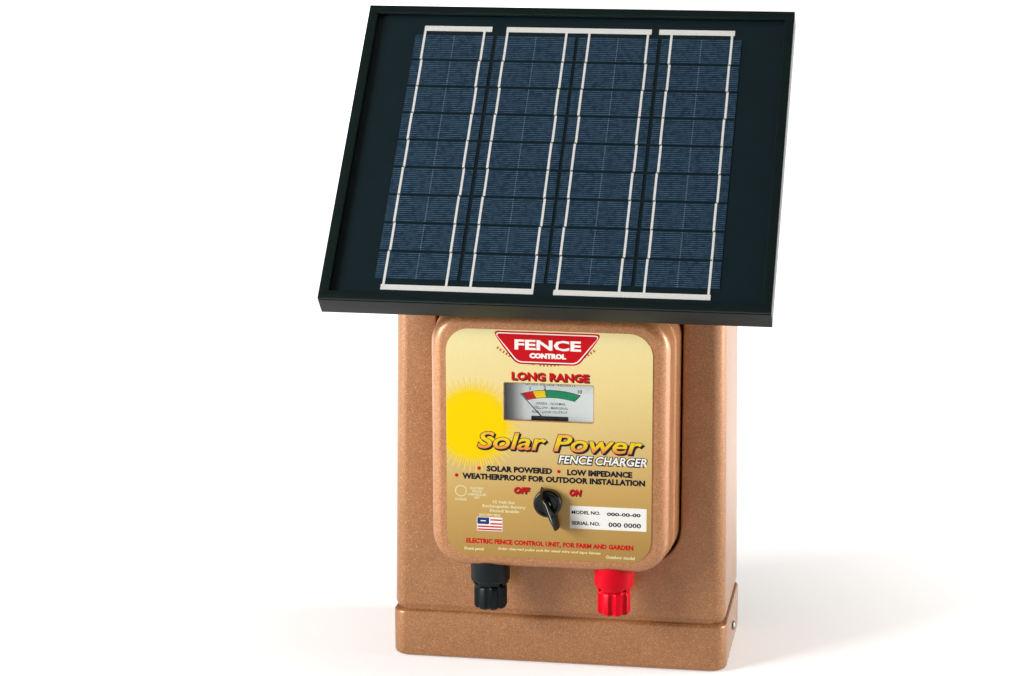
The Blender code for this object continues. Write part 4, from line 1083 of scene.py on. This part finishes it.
def print_dial():
    """The scale, its marks and the small print on the dial."""
    face = DIAL_LOW.y
    rim = 0.45
    for name, first, last, grow, steps, ink, layer in (
            ("scale_edge", -43.6, 43.4, rim, 40, "dial_black", 1),
            ("scale_red", -42.4, -29.6, 0, 14, "dial_red", 2),
            ("scale_yellow", -28.6, -10.2, 0, 14, "dial_yellow", 2),
            ("scale_green", -9.2, 42.2, 0, 24, "dial_green", 2)):
        band = scale_band(first, last, SCALE_INNER - grow, SCALE_OUTER + grow, steps)
        printed(name, [band], ink, layer, face)
    for number, left, foot in (("1", -17.4, 244.4), ("2", -6.1, 245.3), ("10", 21.6, 243.2)):
        lines = ((number, 4.0, left, None, foot),)
        wording("mark_" + number, lines, "dial_black", fineness=6, face=face)
    rows = (("OUTPUT VOLTAGE - KILOVOLTS", 2.4, -21.0, 19.5, 248.6),
            ("GREEN - NORMAL", 2.9, -12.5, 12.0, 232.8), ("YELLOW - MARGINAL", 2.9, -14.0, 14.0, 229.3),
            ("RED - LOW OUTPUT", 2.9, -15.4, 13.4, 225.8))
    wording("dial_small_print", rows, "dial_black", weight=0.03, face=face)


def build_needle():
    """The needle at its rest angle, with its tail and its hub."""
    needle_high = span("meter_needle")[1]
    length = (needle_high.z - PIVOT.z - 0.3) / math.cos(math.radians(NEEDLE_REST))
    blade = [(-0.75, -7), (0.75, -7), (0.5, 8), (0.2, length), (-0.2, length), (-0.5, 8)]
    needle = prism(swung(blade, NEEDLE_REST), -NEEDLE_HALF, NEEDLE_HALF)
    hub = turned([(0, -8), (1.2, -8), (1.2, -1.5), (2.7, -1.5), (3, -1.2), (3, 1.5), (2.4, 2),
                  (0, 2)], 32, axis="Y")
    needle = combined(needle, hub, "UNION")
    piece("needle", moved(needle, PIVOT), "ink_black", "needle", ["meter_needle"])


def build_window():
    """The clear pane, and the bar behind it that hides the needle's pivot."""
    bar = block((-15, -108.6, WINDOW_LOW.z - 9), (15, -106.4, WINDOW_LOW.z + 2.2))
    bar = piece("pivot_cover", bar, "ink_black")
    ease_edges(bar, 0.4)

    pane = prism(window_outline(-0.05), WINDOW_LOW.y, WINDOW_HIGH.y)
    piece("window_pane", pane, "window_plastic", replaces=["meter_window"])


# ---------------------------------------------------------------- switch

OFF_ANGLE = -22.5


def pointer_ring(height, tip, tail, half_width):
    """One level of the pointer: a short point above, and a long tapered tail below."""
    steps = 8
    side = []
    for step in range(1, steps):
        share = step / steps
        side.append((half_width * (share ** 0.75), tip - (tip - 1.5) * share))
    for step in range(steps + 1):
        share = step / steps
        side.append((half_width * (1 - 0.62 * share ** 2.0), 1.5 + (tail * 0.9 - 1.5) * share))
    side += [(half_width * 0.38 * c, tail * 0.9 + tail * 0.1 * s) for c, s in quarter(steps)[1:-1]]
    outline = [(0, tip), *side, (0, tail), *[(-x, z) for x, z in reversed(side)]]
    return [(x, -height, z) for x, z in swung(outline, OFF_ANGLE)]


def build_knob():
    """The pointer knob: a round skirt with a rolled edge and a sharp-backed pointer."""
    base = KNOB_HIGH.y
    ridge = base - KNOB_LOW.y
    radius = 11.4
    face = 7.2
    skirt = [(0, 0), (radius - 0.3, 0), (radius, 0.3), *arc((radius - 1.8, face - 1.8), 1.8, 0, 90, 6),
             (radius - 2.8, face - 0.25), (radius - 3.6, face - 0.5), (0, face - 0.5)]
    knob = turned(skirt, 96, axis="Y")
    levels = ((0.6, 14.0, -23.0, 4.3), (face - 2, 14.0, -23.0, 4.3), (face, 13.8, -22.8, 4.0),
              (face + 2.5, 13.0, -22.2, 2.8), (ridge - 1.6, 11.6, -21.2, 1.6),
              (ridge - 0.5, 10.8, -20.4, 1.1), (ridge, 10.2, -19.8, 0.6))
    knob = combined(knob, skin([pointer_ring(*level) for level in levels]), "UNION")
    knob = combined(knob, bore(8.8, -5, 3.2))
    knob = combined(knob, bore(3.2, -5, 10.2, sides=32))
    knob = piece("pointer_knob", moved(knob, (SHAFT.x, base, SHAFT.z)), "gloss_black",
                 "switch", ["switch_knob"], 30)
    ease_edges(knob, 0.25, 2)


# ---------------------------------------------------------------- terminals

FLUTES = 8
NOTCHES = 4
COLLAR_HOLE = 3.4
CAP_BORE = 3.3


def fluted_ring(height, radius, flute):
    """One level of the fluted cap."""
    sides = FLUTES * 14
    points = []
    for step in range(sides):
        angle = 2 * math.pi * step / sides
        depth = flute * max(0.0, math.cos(angle * FLUTES)) ** 0.55
        points.append(((radius - depth) * math.cos(angle), (radius - depth) * math.sin(angle), height))
    return points


def build_collar(name, ink):
    """A terminal's castellated insulating collar."""
    low, high = span(f"{name}_collar")
    axis = (low + high) / 2
    radius = (high.x - low.x) / 2
    top = high.z - low.z
    profile = [(COLLAR_HOLE, 3.4), (12.5, 3.4), (12.5, 0.3), (12.8, 0), (radius - 2.0, 0),
               (radius - 1.5, 0.5), (radius - 1.1, 2.6), (radius - 0.2, 3.4), (radius, 4.0),
               (radius, top + 4), (COLLAR_HOLE, top + 4)]
    collar = turned(profile, 96, ring=True)
    for turn in range(NOTCHES):
        angle = 2 * math.pi * (turn + 0.5) / NOTCHES
        notch = block((10, -1.6, -4), (20, 1.6, 2.4))
        collar = combined(collar, transformed(notch, Matrix.Rotation(angle, 4, "Z")))
    under = module_body(-0.3, MODULE_FACE - 0.3, MODULE_RIM)
    collar = combined(collar, moved(under, (-axis.x, -axis.y, -low.z)))
    collar = piece(f"{name}_insulator", moved(collar, (axis.x, axis.y, low.z)), ink,
                   replaces=[f"{name}_collar"], angle=30)
    ease_edges(collar, 0.3, 2)


def build_cap(name, ink):
    """A terminal's fluted cap, drawn down from the collar's foot."""
    foot = span(f"{name}_collar")[0].z
    low, high = span(f"{name}_knob")
    reach = (high.x - low.x) / 2 + 0.35
    shoulder = foot - low.z
    levels = [(-0.3, 11.0, 0.0), (-1.0, 12.0, 0.2), (-1.9, 12.9, 0.9), (-3.4, reach, 2.3)]
    levels += [(-shoulder + 2.4, reach, 2.6), (-shoulder + 1.2, reach - 0.15, 2.6),
               (-shoulder + 0.4, reach - 0.7, 2.5), (-shoulder, reach - 1.6, 2.3)]
    cap = skin([fluted_ring(*level) for level in levels])
    cap = combined(cap, turned([(0, -2), (9, -2), (9, 1.4), (0, 1.4)]), "UNION")
    cap = combined(cap, turned([(0, -16.5), (CAP_BORE, -16.5), (CAP_BORE, 10), (0, 10)], 32))
    axis = centre(f"{name}_collar")
    cap = piece(f"{name}_cap", moved(cap, (axis.x, axis.y, foot)), ink, f"{name}_cap",
                [f"{name}_knob"], 40)
    ease_edges(cap, 0.35, 2, 40)


# ---------------------------------------------------------------- solar panel

LIP = 7.5
FLANGE = 20.0
FRAME_WALL = 1.8
SHELF_TOP = -7.0
GLASS_FACE = -2.9
MITRE_GAP = 0.08


def rail_profile():
    """The frame's section: distance in from its outer side, and height out of the panel."""
    under = -PANEL_THICKNESS
    corner = 0.7
    groove = [(0, -3.0), (0.8, -2.8), (0.8, -1.8), (0, -1.6)]
    return [*arc((corner, under + corner), corner, 180, 270, 4), (FLANGE, under), (FLANGE, under + 1.6),
            (FRAME_WALL, under + 1.6), (FRAME_WALL, SHELF_TOP - 1.4), (LIP, SHELF_TOP - 1.4),
            (LIP, SHELF_TOP), (FRAME_WALL, SHELF_TOP), (FRAME_WALL, GLASS_FACE + 0.3),
            (LIP, GLASS_FACE + 0.3), *arc((LIP - 0.5, -0.5), 0.5, 0, 90, 4),
            *arc((corner, -corner), corner, 90, 180, 4), *reversed(groove)]


def build_frame():
    """Four mitred rails."""
    middle = PANEL_LENGTH / 2
    rails = (("frame_rail_bottom", PANEL_WIDTH, (0, 0, 0), 0),
             ("frame_rail_right", PANEL_LENGTH, (PANEL_WIDTH / 2, middle, 0), 90),
             ("frame_rail_top", PANEL_WIDTH, (0, PANEL_LENGTH, 0), 180),
             ("frame_rail_left", PANEL_LENGTH, (-PANEL_WIDTH / 2, middle, 0), 270))
    for node, length, at, turn in rails:
        ends = [[(side * (length / 2 - inward - MITRE_GAP), inward, out)
                 for inward, out in rail_profile()] for side in (-1, 1)]
        place = ON_PANEL @ Matrix.Translation(at) @ Matrix.Rotation(math.radians(turn), 4, "Z")
        piece(node.replace("frame_rail", "rail"), transformed(skin(ends), place), "black_anodised",
              replaces=[node], angle=25)


CELL_PITCH = 27.35
CELL_ROWS = 9
CELL_FIRST = 23.9
CELL_FACE = -5.4
STRING_CENTRES = (-103.5, -34.4, 34.4, 103.5)
RIBBON_OFFSET = 24.8
RIBBON_HALF = 0.95
RIBBON_RISE = 0.2
BUS_LOW = (13.3, 18.2)
BUS_HIGH = (272.0, 277.2)


def build_cells():
    """Four strings of cell strips, each a crystal slice with finger lines."""
    half = CELL_SIZE[0] / 2
    for index, middle in enumerate(STRING_CENTRES):
        shape = bmesh.new()
        layer = shape.loops.layers.uv.new("UVMap")
        for row in range(CELL_ROWS):
            low = CELL_FIRST + row * CELL_PITCH
            before = len(shape.faces)
            block((middle - half, low, CELL_FACE - 0.4),
                  (middle + half, low + CELL_SIZE[1], CELL_FACE), shape)
            shape.faces.ensure_lookup_table()
            for face in list(shape.faces)[before:]:
                for loop in face.loops:
                    loop[layer].uv = (loop.vert.co.x - middle + half, loop.vert.co.y - low)
        transformed(shape, ON_PANEL)
        piece(f"cells_{index + 1}", shape, "silicon",
              replaces=[f"cell_string_{index + 1}"])


def gap_after(row):
    """How far up the panel the middle of the gap after a row of cells lies."""
    return CELL_FIRST + CELL_SIZE[1] + row * CELL_PITCH + (CELL_PITCH - CELL_SIZE[1]) / 2


def ribbon_shape(x, jogs):
    """One ribbon up a string, which shifts a little from cell to cell."""
    top = CELL_FACE + RIBBON_RISE
    levels = [BUS_LOW[0] + 0.6]
    offsets = [jogs[0]]
    for row in range(CELL_ROWS - 1):
        gap = gap_after(row)
        levels += [gap - 0.9, gap + 0.9]
        offsets += [jogs[row], jogs[row + 1]]
    levels.append(BUS_HIGH[1] - 0.6)
    offsets.append(jogs[-1])
    rings = []
    for v, jog in zip(levels, offsets):
        left, right = x + jog - RIBBON_HALF, x + jog + RIBBON_HALF
        rings.append([(left, v, CELL_FACE), (right, v, CELL_FACE), (right, v, top), (left, v, top)])
    return skin(rings)


def build_ribbons():
    """The tinned ribbons over the cells, the solder marks at the gaps and the bus bars."""
    ribbons = bmesh.new()
    marks = bmesh.new()
    top = CELL_FACE + RIBBON_RISE
    reach = RIBBON_OFFSET + RIBBON_HALF
    for string, middle in enumerate(STRING_CENTRES):
        for side in (-1, 1):
            x = middle + side * RIBBON_OFFSET
            jogs = [0.45 * math.sin(2.3 * row + 1.9 * string + side) for row in range(CELL_ROWS)]
            joined(ribbons, ribbon_shape(x, jogs))
            for row in range(CELL_ROWS - 1):
                gap = gap_after(row)
                at = x + (jogs[row] + jogs[row + 1]) / 2 + 0.35 * math.cos(3.1 * row + string)
                block((at - 0.85, gap - 0.75, top - 0.1), (at + 0.85, gap + 0.75, top + 0.04), marks)
    piece("ribbons", transformed(ribbons, ON_PANEL), "tinned_ribbon")
    piece("solder_marks", transformed(marks, ON_PANEL), "dull_solder")

    first, second, third, fourth = STRING_CENTRES
    shape = bmesh.new()
    for left, right, (low, high) in ((first - reach - 1.4, second + reach, BUS_LOW),
                                     (second - reach, third + reach + 1.4, BUS_HIGH),
                                     (third - reach - 1.4, fourth + reach + 1, BUS_LOW),
                                     (first - reach, first + reach + 5.5, BUS_HIGH),
                                     (fourth - reach - 10, fourth + reach + 1.2, BUS_HIGH)):
        block((left, low, CELL_FACE - 0.3), (right, high, CELL_FACE + 0.24), shape)
    bars = piece("bus_bars", transformed(shape, ON_PANEL), "tinned_ribbon")
    ease_edges(bars, 0.15, 2)


# ---------------------------------------------------------------- nodes that keep their CAD shape

def soften(obj):
    """Take the sharpness off a CAD node's edges with modifiers."""
    weld = obj.modifiers.new("weld", "WELD")
    weld.merge_threshold = 0.01 * MM
    ease_edges(obj, 0.35, 2, 40)


def paint_cad_nodes():
    """Give every CAD node that still shows its own procedural material."""
    finishes = {
        "copper_flake": ("bottom_cover",),
        "rubber": ("bottom_gasket", "module_gasket", "cable_grommet"),
        "solder_mask": ("circuit_board",),
        "battery_case": ("battery",),
        "red_insulation": ("battery_lead_red",),
        "black_insulation": ("battery_lead_black", "panel_cable"),
        "moulded_black": ("junction_box", "junction_box_lid", "storage_capacitor", "switch_body"),
        "backsheet": ("panel_backsheet",),
        "panel_glass": ("panel_glass",),
        "black_anodised": ("panel_bracket_left", "panel_bracket_right"),
        "turned_brass": ("ground_stud", "fence_stud", "ground_washer", "fence_washer"),
    }
    by_node = {node: finish for finish, nodes in finishes.items() for node in nodes}
    for name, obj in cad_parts.items():
        if obj.hide_render:
            continue
        material = INK[by_node.get(name, "zinc_plate")]
        for holder in obj.material_slots:
            holder.material = material
        if material not in (INK["panel_glass"], INK["backsheet"]):
            soften(obj)


# ---------------------------------------------------------------- stage, light and camera

CAMERA_PLACE = Vector((319.2, -2195.3, 781.4)) * MM
CAMERA_YAW = 9.629
CAMERA_PITCH = 13.107
CAMERA_ROLL = 0.151
CAMERA_LENS = 96.87
SURROUND_HORIZON = 0.15
SURROUND_ZENITH = 0.10
WARM_SKY = (1.0, 0.78, 0.52, 1.0)
WARM_BOUNCE = (0.33, 0.25, 0.17, 1.0)
FLOOR_HALF = 60
FLOOR_GAP = 0.0004


def floor_paper():
    """White paper that glows beside and behind, and throws a little warm light back up."""
    material, tree, shader, coords = start("floor_paper", roughness=0.9, specular_ior_level=0.1)
    place = add(tree, "SeparateXYZ", {"Vector": coords})
    away = add(tree, "VectorMath", {0: coords}, operation="LENGTH").outputs["Value"]
    behind = span_of(tree, place.outputs["Y"], -0.75, -0.20, 0.05, 0.95)
    aside = math_node(tree, "ABSOLUTE", place.outputs["X"])
    beside = span_of(tree, aside, 0.35, 0.85, 0.05, 1.9)
    path = add(tree, "LightPath")
    seen = math_node(tree, "MULTIPLY", path.outputs["Is Camera Ray"], 0.85)
    glow = math_node(tree, "MAXIMUM", math_node(tree, "MAXIMUM", behind, beside), seen)
    clear_of_part = span_of(tree, away, 0.12, 0.60, 0.40, 1.0)
    soft = path.outputs["Is Diffuse Ray"]
    held = span_of(tree, soft, 0.0, 1.0, 1.0, 0.12)
    strength = math_node(tree, "MULTIPLY", math_node(tree, "MULTIPLY", glow, clear_of_part), held)
    tree.links.new(strength, shader.inputs["Emission Strength"])
    shader.inputs["Emission Color"].default_value = grey(1.0)
    fibre = noise(tree, coords, 50.0)
    paper = mix(tree, fibre, grey(0.84), grey(0.88))
    tree.links.new(mix(tree, soft, paper, WARM_BOUNCE), shader.inputs["Base Color"])
    return material


def build_stage():
    """A pale floor that runs to the horizon."""
    shape = bmesh.new()
    bmesh.ops.create_grid(shape, x_segments=1, y_segments=1, size=FLOOR_HALF)
    floor = added("floor", mesh_from("floor", shape))
    floor.data.materials.append(floor_paper())
    floor.location.z = -FLOOR_GAP


def softbox(name, place, target, width, height, power):
    """A rectangular softbox that faces a target."""
    light = bpy.data.lights.new(name, "AREA")
    light.shape = "RECTANGLE"
    light.size = width
    light.size_y = height
    light.energy = power
    obj = added(name, light)
    obj.location = place
    obj.rotation_euler = (Vector(target) - Vector(place)).to_track_quat("-Z", "Y").to_euler()


def build_surround():
    """A pale surround: white to the camera, brighter at the horizon than overhead to everything else."""
    world = bpy.data.worlds.new("surround")
    world.use_nodes = True
    tree = world.node_tree
    tree.nodes.clear()
    coords = add(tree, "TexCoord").outputs["Generated"]
    rise = add(tree, "SeparateXYZ", {"Vector": coords}).outputs["Z"]
    level = span_of(tree, rise, 0.0, 0.75, SURROUND_HORIZON, SURROUND_ZENITH)
    path = add(tree, "LightPath")
    seen = path.outputs["Is Camera Ray"]
    tone = mix(tree, path.outputs["Is Diffuse Ray"], grey(1.0), WARM_SKY)
    lit = add(tree, "Background", {"Color": tone, "Strength": level})
    white = add(tree, "Background", {"Color": grey(1.0), "Strength": 1.0})
    blend = add(tree, "MixShader", {0: seen, 1: lit.outputs[0], 2: white.outputs[0]})
    add(tree, "OutputWorld", {"Surface": blend.outputs[0]})
    bpy.context.scene.world = world


def build_light():
    """A key from the left front and a rim from the right."""
    build_surround()
    middle_of_part = (0, 0, 0.25)
    softbox("key_left", (-3.1, -2.5, 1.45), middle_of_part, width=1.4, height=2.2, power=213)
    softbox("rim_right", (2.5, 0.15, 0.42), middle_of_part, width=0.9, height=1.6, power=80)


def build_camera():
    """The camera that matches the reference view."""
    data = bpy.data.cameras.new("camera")
    data.lens = CAMERA_LENS
    data.sensor_width = 36.0
    data.clip_end = 200.0
    camera = added("camera", data)
    yaw, tilt, roll = (Matrix.Rotation(math.radians(angle), 4, axis) for angle, axis in
                       ((CAMERA_YAW, "Z"), (90 - CAMERA_PITCH, "X"), (-CAMERA_ROLL, "Z")))
    camera.matrix_world = Matrix.Translation(CAMERA_PLACE) @ yaw @ tilt @ roll
    bpy.context.scene.camera = camera
    bpy.context.scene.view_settings.view_transform = "Standard"


build_case()
build_module()
build_sun()
build_badge()
print_arc()
print_titles()
print_features()
print_small()
print_stickers()
build_housing()
print_dial()
build_needle()
build_window()
build_knob()
for terminal, colour in (("ground", "terminal_black"), ("fence", "terminal_red")):
    build_collar(terminal, colour)
    build_cap(terminal, colour)
build_frame()
build_cells()
build_ribbons()
paint_cad_nodes()
build_stage()
build_light()
build_camera()
